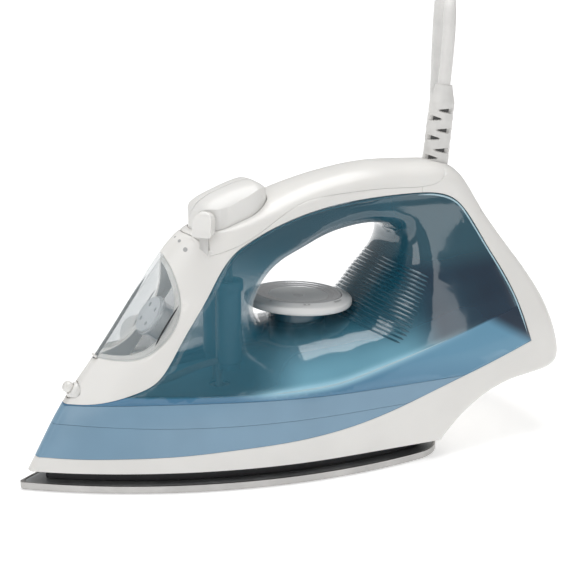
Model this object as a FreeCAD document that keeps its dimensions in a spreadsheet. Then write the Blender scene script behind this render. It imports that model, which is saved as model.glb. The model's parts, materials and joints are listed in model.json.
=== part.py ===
"""Steam iron as a parametric FreeCAD document, one object per physical piece.

Frame: millimetres, nose towards -X, +Y to the far side, +Z up, with the origin on the
soleplate's underside, in the middle plane, under the dial's foremost edge.
"""
import FreeCAD, Part
import Sketcher
import math
import os

Vector = FreeCAD.Vector
Rotation = FreeCAD.Rotation
UP = Vector(0, 0, 1)
ACROSS = Vector(0, 1, 0)

doc = FreeCAD.newDocument("SteamIron")

# ---------------------------------------------------------------- driving dimensions

DRIVING = {
    # soleplate
    "sole_back": 73.0, "sole_thick": 4.0, "sole_half": 54.6,
    "side_radius": 263.5, "side_middle": 9.0, "nose_round": 2.5,
    "pan_wall": 1.2, "cast_top": 13.0, "shield_low": 4.3, "shield_top": 18.0,
    # housing
    "wall": 2.2, "seam": 0.16, "skirt_low": 9.6, "clearance": 0.4,
    # temperature dial
    "dial_radius": 29.0, "dial_low": 79.6, "dial_thick": 6.4, "dial_x": 6.0, "dial_lean": 3.0,
    "shaft_radius": 3.0,
    # buttons, pumps and the steam lever
    "button_radius": 15.4, "button_x": -29.2, "button_front_x": -39.8,
    "pump_x": -38.0, "pump_y": 9.7, "pump_radius": 6.4, "pump_low": 52.0, "pump_top": 100.0,
    "rod_radius": 1.9, "lever_reach": 20.2, "lever_slot": 1.7, "lever_half_turn": 47.6,
    # filler
    "port_radius": 9.8, "port_x": -78.0, "port_z": 83.5, "hinge_x": -108.6, "hinge_z": 65.9,
    # mains lead
    "lead_radius": 3.5, "sleeve_radius": 7.2, "sleeve_long": 46.0, "sleeve_x": 88.9,
    "coil_x": 76.0, "coil_y": 118.0, "coil_radius": 41.0, "pin_radius": 2.4, "pin_spacing": 19.0,
}

sheet = doc.addObject("Spreadsheet::Sheet", "Sizes")
for row, (alias, number) in enumerate(DRIVING.items(), start=1):
    sheet.set(f"A{row}", alias)
    sheet.set(f"B{row}", str(number))
    sheet.setAlias(f"B{row}", alias)
doc.recompute()


class Size:
    """A number together with the spreadsheet expression that gives it."""

    def __init__(self, value, text):
        self.value = float(value)
        self.text = text

    def join(self, other, sign, value):
        """Return the result of one operation on this size and another size or number."""
        return Size(value, f"({self.text} {sign} {expression(other)})")

    def __add__(self, other):
        return self.join(other, "+", self.value + plain(other))

    def __sub__(self, other):
        return self.join(other, "-", self.value - plain(other))

    def __mul__(self, other):
        return self.join(other, "*", self.value * plain(other))

    def __neg__(self):
        return Size(-self.value, f"(0 - {self.text})")


def plain(number):
    """The value of a size or of a bare number."""
    return number.value if isinstance(number, Size) else float(number)


def expression(number):
    """The expression of a size or of a bare number."""
    return number.text if isinstance(number, Size) else repr(float(number))


SIZES = {alias: Size(number, f"Sizes.{alias}") for alias, number in DRIVING.items()}


def size(alias):
    """The driving dimension of that name."""
    return SIZES[alias]


# ---------------------------------------------------------------- document helpers

NODES = {}


def keep(label, item):
    """Give a finished sub-part its label and list it for export."""
    item.Label = label
    NODES[label] = item
    return item


def bind(item, prop, number):
    """Set a property, and bind it to the sheet when its number is a driving size."""
    if isinstance(number, Size):
        item.setExpression(prop, number.text)
    else:
        setattr(item, prop, number)


def place(item, at=(0, 0, 0), axis=UP):
    """Place an item with its own +Z along an axis."""
    turn = Rotation(UP, Vector(*axis))
    item.Placement = FreeCAD.Placement(Vector(*[plain(c) for c in at]), turn)
    for name, number in zip("xyz", at):
        if isinstance(number, Size):
            item.setExpression(f"Placement.Base.{name}", number.text)
    return item


def rod(name, radius, height, at=(0, 0, 0), axis=UP):
    """A Part cylinder that starts at a point and runs along an axis."""
    item = doc.addObject("Part::Cylinder", name)
    bind(item, "Radius", radius)
    bind(item, "Height", height)
    return place(item, at, axis)


def block(name, length, width, height, at, axis=UP):
    """A Part box centred on its at point in length and width, with its base there."""
    item = doc.addObject("Part::Box", name)
    bind(item, "Length", length)
    bind(item, "Width", width)
    bind(item, "Height", height)
    turn = Rotation(UP, Vector(*axis))
    corner = Vector(*at) - turn.multVec(Vector(plain(length) / 2, plain(width) / 2, 0))
    item.Placement = FreeCAD.Placement(corner, turn)
    return item


def joined(name, items):
    """Fuse several document objects."""
    item = doc.addObject("Part::MultiFuse", name)
    item.Shapes = items
    return item


def group(name, items):
    """Several separate solids that share one node."""
    item = doc.addObject("Part::Compound", name)
    item.Links = items
    return item


def minus(name, base, tool):
    """Cut one document object out of another."""
    item = doc.addObject("Part::Cut", name)
    item.Base = base
    item.Tool = tool
    return item


def rounded(name, base, radius, picks):
    """Fillet the edges that the pick function accepts."""
    doc.recompute()
    item = doc.addObject("Part::Fillet", name)
    item.Base = base
    item.Edges = [(i, radius, radius) for i, edge in enumerate(base.Shape.Edges, 1) if picks(edge)]
    return item


def solid_feature(name, shape):
    """A Part::Feature for a piece whose surface is worked out by a formula."""
    item = doc.addObject("Part::Feature", name)
    item.Shape = shape
    return item


def plane_of(body, role):
    """One of a body's own origin planes."""
    return next(o for o in body.Origin.OriginFeatures if o.Role == role)


def new_sketch(body, name, role):
    """An empty sketch on an origin plane of its body."""
    sketch = body.newObject("Sketcher::SketchObject", name)
    sketch.AttachmentSupport = [(plane_of(body, role), "")]
    sketch.MapMode = "FlatFace"
    return sketch


def pin_point(sketch, line, end, point):
    """Hold one end of a line at a point, with bound distances from the sketch's axes."""
    for kind, axis_line, number in (("DistanceX", -2, point[0]), ("DistanceY", -1, point[1])):
        if abs(plain(number)) < 1e-9:
            sketch.addConstraint(Sketcher.Constraint("PointOnObject", line, end, axis_line))
            continue
        rule = Sketcher.Constraint(kind, -1, 1, line, end, plain(number))
        index = sketch.addConstraint(rule)
        if isinstance(number, Size):
            sketch.setExpression(f"Constraints[{index}]", number.text)


def polygon(sketch, points):
    """A closed outline of straight lines, each corner held by bound distances."""
    corners = [Vector(plain(a), plain(b), 0) for a, b in points]
    count = len(corners)
    lines = [Part.LineSegment(corners[i], corners[(i + 1) % count]) for i in range(count)]
    first = sketch.addGeometry(lines)[0]
    for i in range(count):
        following = first + (i + 1) % count
        sketch.addConstraint(Sketcher.Constraint("Coincident", first + i, 2, following, 1))
        pin_point(sketch, first + i, 1, points[i])


def turned(label, profile, at=(0, 0, 0), axis=UP):
    """A body of revolution from (radius, height) corners."""
    body = doc.addObject("PartDesign::Body", label)
    sketch = new_sketch(body, label + "_profile", "XZ_Plane")
    polygon(sketch, profile)
    feature = body.newObject("PartDesign::Revolution", label + "_turn")
    feature.Profile = sketch
    feature.ReferenceAxis = (sketch, ["V_Axis"])
    feature.Angle = 360.0
    return place(body, at, axis)


def padded(label, points, low, thick, role="XY_Plane"):
    """A body padded from a straight-sided outline; low is its distance from the plane."""
    body = doc.addObject("PartDesign::Body", label)
    sketch = new_sketch(body, label + "_outline", role)
    sketch.AttachmentOffset = FreeCAD.Placement(Vector(0, 0, plain(low)), Rotation())
    polygon(sketch, points)
    feature = body.newObject("PartDesign::Pad", label + "_pad")
    feature.Profile = sketch
    bind(feature, "Length", thick)
    return body


def tube_along(name, points, radius, report=False):
    """A round tube along straight runs joined by arcs that are as large as the runs allow."""
    corners = [Vector(*p) for p in points]
    edges = []
    start = corners[0]
    tightest = 1e9
    for before, corner, after in zip(corners, corners[1:], corners[2:]):
        back = before - corner
        ahead = after - corner
        half_turn = (math.pi - back.getAngle(ahead)) / 2
        reach = 0.45 * min(back.Length, ahead.Length)
        arc_radius = reach / math.tan(half_turn)
        tightest = min(tightest, arc_radius)
        back.normalize()
        ahead.normalize()
        enter = corner + back * reach
        leave = corner + ahead * reach
        middle_way = (back + ahead).normalize()
        middle = corner + middle_way * (arc_radius / math.cos(half_turn) - arc_radius)
        edges.append(Part.LineSegment(start, enter).toShape())
        edges.append(Part.Arc(enter, middle, leave).toShape())
        start = leave
        if report:
            print(f"{name}: radius {arc_radius:.1f} mm, turn {math.degrees(2 * half_turn):.0f}")
    edges.append(Part.LineSegment(start, corners[-1]).toShape())
    wire = Part.Wire(edges)
    ring = Part.Wire([Part.makeCircle(radius, corners[0], corners[1] - corners[0])])
    tube = wire.makePipeShell([ring], True, False)
    expected = math.pi * radius ** 2 * wire.Length
    if abs(tube.Volume / expected - 1) > 0.01:
        raise RuntimeError(f"{name}: volume {tube.Volume:.0f}, expected {expected:.0f}")
    if report:
        print(f"{name}: length {wire.Length:.0f} mm, tightest radius {tightest:.1f} mm")
    return solid_feature(name, tube)


# The dial's axis leans back a little; heights along it start at the dial's underside.
DIAL_LEAN = math.radians(plain(size("dial_lean")))
DIAL_AXIS = Vector(math.sin(DIAL_LEAN), 0, math.cos(DIAL_LEAN))
COLLAR_RADIUS = 15.6
HINGE_PIN = 0.7


def dial_point(along):
    """The point of the dial's axis at a distance above its underside."""
    return Vector(plain(size("dial_x")), 0, plain(size("dial_low"))) + DIAL_AXIS * along


# ---------------------------------------------------------------- soleplate

def sole_sketch(body, name, inset, level):
    """The sole's outline, inset from its edge.

    Two long arcs meet at the nose, a straight line closes the back, and the two back
    corners and the nose are rounded.
    """
    sketch = new_sketch(body, name, "XY_Plane")
    sketch.AttachmentOffset = FreeCAD.Placement(Vector(0, 0, plain(level)), Rotation())
    radius = size("side_radius") - inset
    offset = size("side_radius") - size("sole_half")
    middle = size("side_middle")
    back = size("sole_back") - inset
    back_angle = math.acos((plain(back) - plain(middle)) / plain(radius))
    tip_angle = math.pi - math.asin(plain(offset) / plain(radius))
    far = Part.Circle(Vector(plain(middle), -plain(offset), 0), UP, plain(radius))
    near = Part.Circle(Vector(plain(middle), plain(offset), 0), UP, plain(radius))
    far_arc = Part.ArcOfCircle(far, back_angle, tip_angle)
    near_arc = Part.ArcOfCircle(near, -tip_angle, -back_angle)
    line = Part.LineSegment(near_arc.EndPoint, far_arc.StartPoint)
    sketch.addGeometry([far_arc, near_arc, line])
    rules = [
        Sketcher.Constraint("Coincident", 0, 2, 1, 1),
        Sketcher.Constraint("Coincident", 1, 2, 2, 1),
        Sketcher.Constraint("Coincident", 2, 2, 0, 1),
        Sketcher.Constraint("PointOnObject", 0, 2, -1),
        Sketcher.Constraint("Vertical", 2),
    ]
    sketch.addConstraint(rules)
    bound = [
        (Sketcher.Constraint("DistanceX", -1, 1, 0, 3, plain(middle)), middle),
        (Sketcher.Constraint("DistanceY", -1, 1, 0, 3, -plain(offset)), -offset),
        (Sketcher.Constraint("Radius", 0, plain(radius)), radius),
        (Sketcher.Constraint("Radius", 1, plain(radius)), radius),
        (Sketcher.Constraint("DistanceX", -1, 1, 2, 1, plain(back)), back),
    ]
    for rule, number in bound:
        index = sketch.addConstraint(rule)
        sketch.setExpression(f"Constraints[{index}]", number.text)
    return sketch


def sole_pad(body, name, inset, level, thick, corner):
    """Pad the sole's outline and round its upright edges."""
    sketch = sole_sketch(body, name + "_outline", inset, level)
    pad = body.newObject("PartDesign::Pad", name)
    pad.Profile = sketch
    bind(pad, "Length", thick)
    doc.recompute()
    return round_uprights(body, pad, name, corner, plain(level))


def round_uprights(body, feature, name, corner, level):
    """Round the upright edges of a sole outline: the nose first, then the two back corners."""
    for part, side, radius in (("nose", -1, plain(size("nose_round"))), ("back", 1, corner)):
        names = []
        for i, edge in enumerate(feature.Shape.Edges, 1):
            ends = [v.Point for v in edge.Vertexes]
            upright = len(ends) == 2 and (ends[0] - ends[1]).cross(UP).Length < 1e-6
            at_corner = ends[0].x * side > 0
            if upright and at_corner and min(p.z for p in ends) >= level - 1e-6:
                names.append(f"Edge{i}")
        fillet = body.newObject("PartDesign::Fillet", f"{name}_{part}")
        fillet.Base = (feature, names)
        fillet.Radius = radius
        doc.recompute()
        feature = fillet
    return feature


def sole_plate(label, inset, level, thick, corner):
    """A flat plate of the sole's outline."""
    body = doc.addObject("PartDesign::Body", label)
    sole_pad(body, label + "_plate", inset, level, thick, corner)
    return body


def sole_pan(name, inset, level, thick, corner, hollow_inset, hollow_low, hollow_high):
    """A plate of the sole's outline with a hollow of the same outline cut into it."""
    outside = sole_plate(name + "_outside", inset, level, thick, corner)
    inner_corner = max(corner - (plain(hollow_inset) - plain(inset)), 3.0)
    inside = sole_plate(name + "_inside", hollow_inset, hollow_low,
                        plain(hollow_high) - plain(hollow_low), inner_corner)
    return minus(name, outside, inside)


def steam_hole_places():
    """Centres of the steam holes, in two rows that follow the sole's sides."""
    places = [(-112.0, 0.0)]
    for step in range(6):
        x = -98.0 + 22.0 * step
        y = 9.0 + 4.2 * step ** 1.05
        places += [(x, y), (x, -y)]
    return places


def build_soleplate():
    """Pan, casting, heater, chamber lid, gasket, shield, thermostat, fuse and screws."""
    thick = size("sole_thick")
    pan = sole_pan("sole_pan", 0.0, 0.0, thick, 22.0, 1.4, size("pan_wall"), 20.0)
    rim = rounded("sole_rim", pan, 1.1, lambda e: e.BoundBox.ZMax < 1e-6)
    holes = [rod(f"steam_hole_{i}", 1.5, 3.0, (x, y, -1.0))
             for i, (x, y) in enumerate(steam_hole_places())]
    keep("soleplate", minus("sole_with_holes", rim, group("steam_holes", holes)))

    low = size("pan_wall") + 0.1
    flange = sole_plate("casting_flange", 1.7, low, 2.6, 20.0)
    upper = sole_plate("casting_upper", 10.5, low + 2.6, size("cast_top") - low - 2.6, 14.0)
    trough = sole_pan("casting_trough", 13.5, 5.5, 20.0, 11.0, 25.0, 5.0, 30.0)
    chamber = sole_plate("casting_chamber", 27.5, 8.0, 20.0, 3.0)
    base = joined("casting_block", [flange, upper])
    bed = build_heater(9.4, 3.5)
    hollow = minus("casting_cut", base, group("casting_hollows", [trough, chamber, bed]))
    bosses = [rod(f"boss_{i}", 4.4, size("cast_top") - 7.5, (x, y, 7.5))
              for i, (x, y) in enumerate(SCREW_PLACES)]
    solid = joined("casting_bosses", [hollow] + bosses)
    keep("soleplate_casting", minus("casting_bores", solid, screw_ways("casting")))

    keep("heating_element", build_heater(9.4, 3.3))
    lid = size("cast_top") + 0.1
    lid_plate = sole_plate("chamber_plate", 10.8, lid, 1.2, 13.0)
    lid_hole = group("lid_holes", [rod("valve_way", 3.2, 9.0, (-39.8, 0, 10.0)),
                                   rod("boost_way", 2.2, 9.0, (size("pump_x"), size("pump_y"), 10)),
                                   rod("rod_way_a", 3.6, 9.0, (HEATER_END, heater_y(HEATER_END), 10)),
                                   rod("rod_way_b", 3.6, 9.0, (HEATER_END, -heater_y(HEATER_END), 10)),
                                   screw_ways("lid")])
    keep("steam_chamber_lid", minus("lid_cut", lid_plate, lid_hole))

    shield = sole_pan("shield", 7.9, size("shield_low"),
                      size("shield_top") - size("shield_low"), 16.0, 9.7, 0.0, 15.8)
    openings = group("shield_ways", [rod("stat_way", 14.5, 20.0, (size("dial_x") - 2.5, 0, 8.0)),
                                     rod("steam_way", 6.0, 20.0, (-39.8, 0, 8.0)),
                                     rod("pump_way", 2.6, 20.0, (size("pump_x"), size("pump_y"), 8)),
                                     rod("heat_way_a", 5.0, 20.0, (HEATER_END, heater_y(HEATER_END), 8)),
                                     rod("heat_way_b", 5.0, 20.0, (HEATER_END, -heater_y(HEATER_END), 8)),
                                     rod("fuse_way", 4.0, 20.0, (24.0, -16.0, 8.0)),
                                     screw_ways("shield")])
    keep("heat_shield", minus("shield_cut", shield, openings))

    screws = [turned(f"sole_screw_{i}", [(0, 9.6), (2.0, 9.6), (2.0, 18.3), (4.0, 18.3), (3.6, 20.6),
                                         (0, 20.6)], (x, y, 0))
              for i, (x, y) in enumerate(SCREW_PLACES)]
    keep("sole_screws", group("sole_screw_set", screws))

    x = dial_point(-50.0).x
    base = rounded("stat_block", block("stat_box", 20.0, 15.0, 11.0, (x, 0, 14.5)), 1.5,
                   lambda e: e.BoundBox.ZLength > 5)
    post = rod("stat_post", 4.2, 5.0, (x, 0, 25.5))
    blade = block("stat_blade", 26.0, 5.0, 0.8, (x, 0, 20.0))
    keep("thermostat", joined("stat_join", [base, post, blade]))
    fuse = turned("fuse", [(0, 0), (2.0, 0), (2.4, 1.0), (2.4, 12.0), (1.2, 14.0), (0.5, 14.0),
                           (0.5, 19.0), (0, 19.0)], (24.0, -16.0, 14.5))
    keep("thermal_fuse", fuse)


SCREW_PLACES = [(-62.0, 0.0), (40.0, 14.0), (40.0, -14.0)]
HEATER_INSET = 19.3
HEATER_END = 48.0


def screw_ways(name):
    """Bores for the three screws that hold the housing to the soleplate."""
    return group(name + "_screw_ways", [rod(f"{name}_screw_way_{i}", 2.1, 30.0, (x, y, 9.4))
                                        for i, (x, y) in enumerate(SCREW_PLACES)])


def heater_y(x):
    """How far from the middle the heater's lane lies at a station."""
    side = plain(size("side_radius")) - HEATER_INSET
    offset = plain(size("side_radius")) - plain(size("sole_half"))
    return math.sqrt(side ** 2 - (x - plain(size("side_middle"))) ** 2) - offset


def build_heater(level, radius):
    """A tubular heater bent round the nose, with an upright terminal pin at each end."""
    offset = plain(size("side_radius")) - plain(size("sole_half"))
    middle = plain(size("side_middle"))
    turn_x, mid_x, end_x = -92.0, -20.0, HEATER_END
    turn_y, mid_y, end_y = heater_y(turn_x), heater_y(mid_x), heater_y(end_x)
    tangent = (middle - turn_x) / (turn_y + offset)
    bow = turn_y * (math.sqrt(1 + tangent ** 2) - tangent)
    far = Part.Arc(Vector(end_x, end_y, level), Vector(mid_x, mid_y, level),
                   Vector(turn_x, turn_y, level)).toShape()
    nose = Part.Arc(Vector(turn_x, turn_y, level), Vector(turn_x - bow, 0, level),
                    Vector(turn_x, -turn_y, level)).toShape()
    near = Part.Arc(Vector(turn_x, -turn_y, level), Vector(mid_x, -mid_y, level),
                    Vector(end_x, -end_y, level)).toShape()
    wire = Part.Wire([far, nose, near])
    along = wire.Edges[0].tangentAt(wire.Edges[0].FirstParameter)
    ring = Part.Wire([Part.makeCircle(radius, Vector(end_x, end_y, level), along)])
    bar = wire.makePipeShell([ring], True, False)
    pins = []
    for y in (end_y, -end_y):
        pins.append(Part.makeCylinder(radius, radius + 3.6, Vector(end_x, y, level)))
        pins.append(Part.makeCylinder(1.6, 16.0, Vector(end_x, y, level)))
        pins.append(Part.makeSphere(radius, Vector(end_x, y, level)))
    shape = bar
    for pin in pins:
        shape = shape.fuse(pin)
    return solid_feature("heater", shape.removeSplitter())


# ---------------------------------------------------------------- the outer skin

# Stations around the hand opening, clockwise from the bottom of the nose. Each gives the
# outer corner (x, z), the inner corner (x, z), the rounding depth at the outer edge and at
# the inner edge, and how square the outer rounding is.
STATIONS = [
    ((-151, -1), (-21, 77), 7, 30, 2.2), ((-146.5, 8), (-23.5, 81), 7, 27, 2.2),
    ((-138.5, 22), (-25, 85.5), 7, 24, 2.2), ((-126, 43), (-25.5, 91), 7, 20, 2.2),
    ((-108, 66.5), (-24, 96.5), 8, 16, 2.2), ((-90, 91.5), (-20, 102), 9, 14, 2.2),
    ((-73.5, 114), (-14, 107), 9, 12, 2.4), ((-60, 125.5), (-6, 111), 8, 11, 3.0),
    ((-38, 132), (4, 114.5), 9, 10, 2.8), ((-8, 143.5), (16, 118), 12, 10, 2.4),
    ((22, 151), (28, 120.3), 13, 10, 2.3), ((50, 153.8), (39, 121.5), 13, 10, 2.3),
    ((76, 152.5), (49, 121), 13, 10, 2.3), ((97, 147), (56, 117.5), 12, 12, 2.4),
    ((113, 124), (57.5, 111), 12, 14, 2.6), ((131, 97), (55, 103.5), 12, 17, 2.6),
    ((146, 71), (50, 96.5), 12, 20, 2.6), ((153, 48), (44, 90), 12, 23, 2.6),
    ((145, 36.5), (39.3, 84), 8, 26, 2.8), ((114, 34), (31, 77.2), 6, 29, 3.5),
    ((86, 22), (20, 75.8), 6, 32, 3.5), ((68, 5), (11, 75.4), 6, 34, 3.5),
    ((50, -9), (2, 75), 8, 34, 2.5), ((-10, -12), (-6, 74.3), 8, 34, 2.5),
    ((-90, -12), (-13, 74), 8, 33, 2.5), ((-140, -10), (-17.5, 75), 7, 32, 2.2),
]
SEAM_STATION = 23
PER_STATION = 3
ACROSS_STEPS = 24
OVERLAP = 3


def closed_curve(values):
    """A smooth closed curve through values at 0, 1, 2 and so on.

    Its slopes solve the periodic cubic spline's equations by repeated averaging.
    """
    count = len(values)
    slopes = [0.0] * count
    for _ in range(60):
        for i in range(count):
            rise = 3.0 * (values[(i + 1) % count] - values[i - 1])
            slopes[i] = (rise - slopes[i - 1] - slopes[(i + 1) % count]) / 4.0

    def at(place_along):
        i = int(math.floor(place_along))
        return cubic(place_along - i, values[i % count], values[(i + 1) % count],
                     slopes[i % count], slopes[(i + 1) % count])

    return at


def cubic(f, start, end, start_slope, end_slope):
    """The cubic between two values with a given slope at each end."""
    rise = (3 - 2 * f) * f * f
    return (start * (1 - rise) + end * rise
            + start_slope * f * (1 - f) ** 2 - end_slope * f * f * (1 - f))


def smooth_table(places, values):
    """A smooth function through a table that adds no bumps of its own."""
    steps = [b - a for a, b in zip(places, places[1:])]
    rates = [(b - a) / step for a, b, step in zip(values, values[1:], steps)]
    slopes = [rates[0]] + [0.0] * (len(rates) - 1) + [rates[-1]]
    for i in range(1, len(rates)):
        if rates[i - 1] * rates[i] > 0:
            near = 2 * steps[i] + steps[i - 1]
            far = steps[i] + 2 * steps[i - 1]
            slopes[i] = (near + far) / (near / rates[i - 1] + far / rates[i])

    def at(place_along):
        x = min(max(place_along, places[0]), places[-1])
        i = max(k for k in range(len(steps)) if x >= places[k])
        return cubic((x - places[i]) / steps[i], values[i], values[i + 1],
                     slopes[i] * steps[i], slopes[i + 1] * steps[i])

    return at


outer_x = closed_curve([s[0][0] for s in STATIONS])
outer_z = closed_curve([s[0][1] for s in STATIONS])
inner_x = closed_curve([s[1][0] for s in STATIONS])
inner_z = closed_curve([s[1][1] for s in STATIONS])
outer_round = closed_curve([s[2] for s in STATIONS])
inner_round = closed_curve([s[3] for s in STATIONS])
squareness = closed_curve([s[4] for s in STATIONS])
widest_half = smooth_table([-12, 10, 30, 45, 60, 75, 90, 110, 125, 140, 156],
                           [51.5, 51.5, 51, 49.5, 47, 43, 37, 27, 21.5, 19.5, 19])
prow_x = smooth_table([-12, 8, 22, 43, 66.5, 91.5, 114, 126, 156],
                      [-157, -146.5, -138.5, -126, -108, -90, -73.5, -66, -45])
bow_length = smooth_table([-12, 10, 45, 75, 100, 125, 156], [158, 158, 140, 115, 80, 42, 36])


def plan_half(x, z):
    """Half the body's width in plan at a height: a quarter sine behind the prow."""
    along = min(max((x - prow_x(z) + 1.5) / bow_length(z), 0.0), 1.0)
    rear = min(max((x - 60.0) / 95.0, 0.0), 1.0)
    return max(widest_half(z) * math.sin(math.pi / 2 * along ** 0.84) * (1 - 0.2 * rear ** 2), 4.5)


def rounding(depth, power):
    """From 0 at the edge to 1 at full depth, along a rounded quarter."""
    depth = min(max(depth, 0.0), 1.0)
    return (1 - (1 - depth) ** power) ** (1 / power)


def skin_point(station, across, inset):
    """A point of the near half of the skin, moved inwards by an inset."""
    near_x, near_z = inner_x(station), inner_z(station)
    far_x, far_z = outer_x(station), outer_z(station)
    span = math.hypot(far_x - near_x, far_z - near_z)
    share = (inset + across * (span - 2 * inset)) / span
    x = near_x + (far_x - near_x) * share
    z = near_z + (far_z - near_z) * share
    inner_depth = (share * span - inset) / (inner_round(station) - inset)
    outer_depth = ((1 - share) * span - inset) / (outer_round(station) - inset)
    half = (plan_half(x, z) - inset) * rounding(inner_depth, 2.1)
    return Vector(x, -half * rounding(outer_depth, squareness(station)), z)


def skin_solid(inset):
    """The closed solid inside the skin, inset from it: a ring round the hand opening."""
    rows = []
    shares = [(1 - math.cos(math.pi * j / ACROSS_STEPS)) / 2 for j in range(ACROSS_STEPS + 1)]
    for i in range(-OVERLAP, len(STATIONS) * PER_STATION + OVERLAP + 1):
        station = SEAM_STATION + i / PER_STATION
        points = [skin_point(station, share, inset) for share in shares]
        points[0].y = 0
        points[-1].y = 0
        before = [Vector(p.x, -p.y, p.z) for p in reversed(points[1:OVERLAP + 1])]
        beyond = [Vector(p.x, -p.y, p.z) for p in reversed(points[-OVERLAP - 1:-1])]
        rows.append(before + points + beyond)
    surface = Part.BSplineSurface()
    surface.interpolate(rows)
    along, over = surface.getUKnots(), surface.getVKnots()
    last = OVERLAP + len(STATIONS) * PER_STATION
    surface.segment(along[OVERLAP], along[last], over[OVERLAP], over[OVERLAP + ACROSS_STEPS])
    near = surface.toShape()
    shell = Part.makeShell([near, near.mirror(Vector(0, 0, 0), ACROSS)])
    shell.sewShape()
    solid = Part.makeSolid(shell)
    if solid.Volume < 0:
        solid.reverse()
    return solid


# Lines seen from the side, as (x, z) points from the nose to the back.
SKIRT_LINE = [(-165, 16.2), (-141.4, 16.7), (-125.8, 16.5), (-101, 17), (-75.5, 17.9),
              (-48.8, 19.7), (-23.8, 21.2), (0.9, 23.6), (21.9, 26.9), (42.4, 31.8),
              (65.7, 38.6), (94.9, 46.4), (127.2, 54.8), (150, 60.6), (172, 66)]
BAND_LINE = [(-165, 33.6), (-131, 33.2), (-91, 32.2), (-24, 32.4), (6, 32.8), (60, 33.0)]
TANK_LINE = [(-165, 42.6), (-111.5, 42.7), (-90, 43.6), (-65, 44.2), (-23, 43.9), (17, 43.3),
             (66, 43.2), (180, 43.2)]
FRAME_LINE = [(-165, 43.3), (-126, 43.1), (-118.5, 43.0), (-106, 45), (-93.5, 49.3),
              (-83.8, 54.6), (-77.5, 61.7), (-69.6, 73.9), (-59.4, 88.8), (-50, 103),
              (-39.3, 117.0), (-26.6, 124.2), (-8.1, 130.8), (10, 135), (42, 138.2),
              (63.8, 138.4), (78.3, 137.3), (89.5, 133.3), (97, 125.7), (106, 108.9),
              (117, 85.8), (122, 72), (127.2, 54.8), (130, 45)]
CREASE_LINE = [(-95, 130), (-70, 122.6), (-60, 117.4), (-53.5, 116.0), (-44, 118), (-25.4, 126),
               (0, 138.9), (21, 141.7), (52.8, 142.1), (72, 141.4), (81, 143.4), (87, 150),
               (89, 165)]
WINDOW_OUTLINE = [(-116, 66.4), (-109.5, 65.4), (-102.7, 64.4), (-93, 64.6), (-86, 66.8), (-79.9, 71),
                  (-73.5, 77.5), (-69, 85.5), (-67, 94.5), (-67.6, 104), (-69.6, 112), (-72.4, 118),
                  (-79, 125)]


def side_edge(points, shift=0.0):
    """A smooth edge through side-view points, moved off its line by a shift to its left."""
    moved = []
    for i, (x, z) in enumerate(points):
        before = points[max(i - 1, 0)]
        after = points[min(i + 1, len(points) - 1)]
        dx, dz = after[0] - before[0], after[1] - before[1]
        length = math.hypot(dx, dz)
        moved.append(Vector(x - dz / length * shift, -90, z + dx / length * shift))
    curve = Part.BSplineCurve()
    curve.interpolate(Points=moved, PeriodicFlag=False)
    return curve.toShape()


def side_prism(*edges):
    """A prism across the whole width, from side-view edges joined by straight lines."""
    loop = []
    for i, edge in enumerate(edges):
        following = edges[(i + 1) % len(edges)]
        end = edge.valueAt(edge.LastParameter)
        start = following.valueAt(following.FirstParameter)
        loop.append(edge)
        if (end - start).Length > 1e-6:
            loop.append(Part.makeLine(end, start))
    wire = Part.Wire(Part.__sortEdges__(loop))
    return Part.Face(wire).extrude(Vector(0, 180, 0))


def side_polygon(points):
    """A prism across the whole width, from straight-sided side-view points."""
    corners = [Vector(x, -90, z) for x, z in points]
    return Part.Face(Part.makePolygon(corners + corners[:1])).extrude(Vector(0, 180, 0))


def beyond(points, shift, level):
    """The prism between a side-view line and a level above or below it."""
    edge = side_edge(points, shift)
    start = edge.valueAt(edge.FirstParameter)
    end = edge.valueAt(edge.LastParameter)
    far_end = Vector(end.x, -90, level)
    far_start = Vector(start.x, -90, level)
    return side_prism(edge, Part.makeLine(far_end, far_start))


def blue_prism(shift):
    """The blue part of the side view, between the white frame and the white skirt."""
    return beyond(FRAME_LINE, -shift, -60).common(beyond(SKIRT_LINE, shift, 220))


def window_prism(shrink):
    """The window's side-view outline, shrunk by a distance."""
    edge = side_edge(WINDOW_OUTLINE, shrink)
    start = edge.valueAt(edge.FirstParameter)
    return side_prism(edge, Part.makeLine(Vector(-130, -90, 125), Vector(-130, -90, start.z)))


def biggest(shape):
    """The largest solid of a shape, which drops slivers left by a cut."""
    return max(shape.Solids, key=lambda s: s.Volume)


def stadium(radius, low, high):
    """An upright prism with two round ends, which holds the pair of buttons."""
    rear = plain(size("button_x"))
    front = plain(size("button_front_x"))
    tall = high - low
    shape = Part.makeCylinder(radius, tall, Vector(rear, 0, low))
    shape = shape.fuse(Part.makeCylinder(radius, tall, Vector(front, 0, low)))
    bar = Part.makeBox(rear - front, 2 * radius, tall, Vector(front, -radius, low))
    return shape.fuse(bar).removeSplitter()


def lever_sector(inner, outer, half_turn, low, high):
    """A sector of a ring round the lever's axis, on its nose side."""
    axis_x = plain(size("button_front_x"))
    ring = Part.makeCylinder(outer, high - low, Vector(axis_x, 0, low), UP, 2 * half_turn)
    hole = Part.makeCylinder(inner, high - low + 2, Vector(axis_x, 0, low - 1))
    sector = ring.cut(hole)
    sector.rotate(Vector(axis_x, 0, 0), UP, 180 - half_turn)
    return sector


def deck_ahead(radius, reach_back):
    """The space over the deck ahead of the lever's slot, outside a radius from its axis."""
    axis_x = plain(size("button_front_x"))
    space = Part.makeBox(60, 80, 60, Vector(axis_x - 71.6 + reach_back, -40, 105))
    return space.cut(Part.makeCylinder(radius, 80, Vector(axis_x, 0, 100)))


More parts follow.
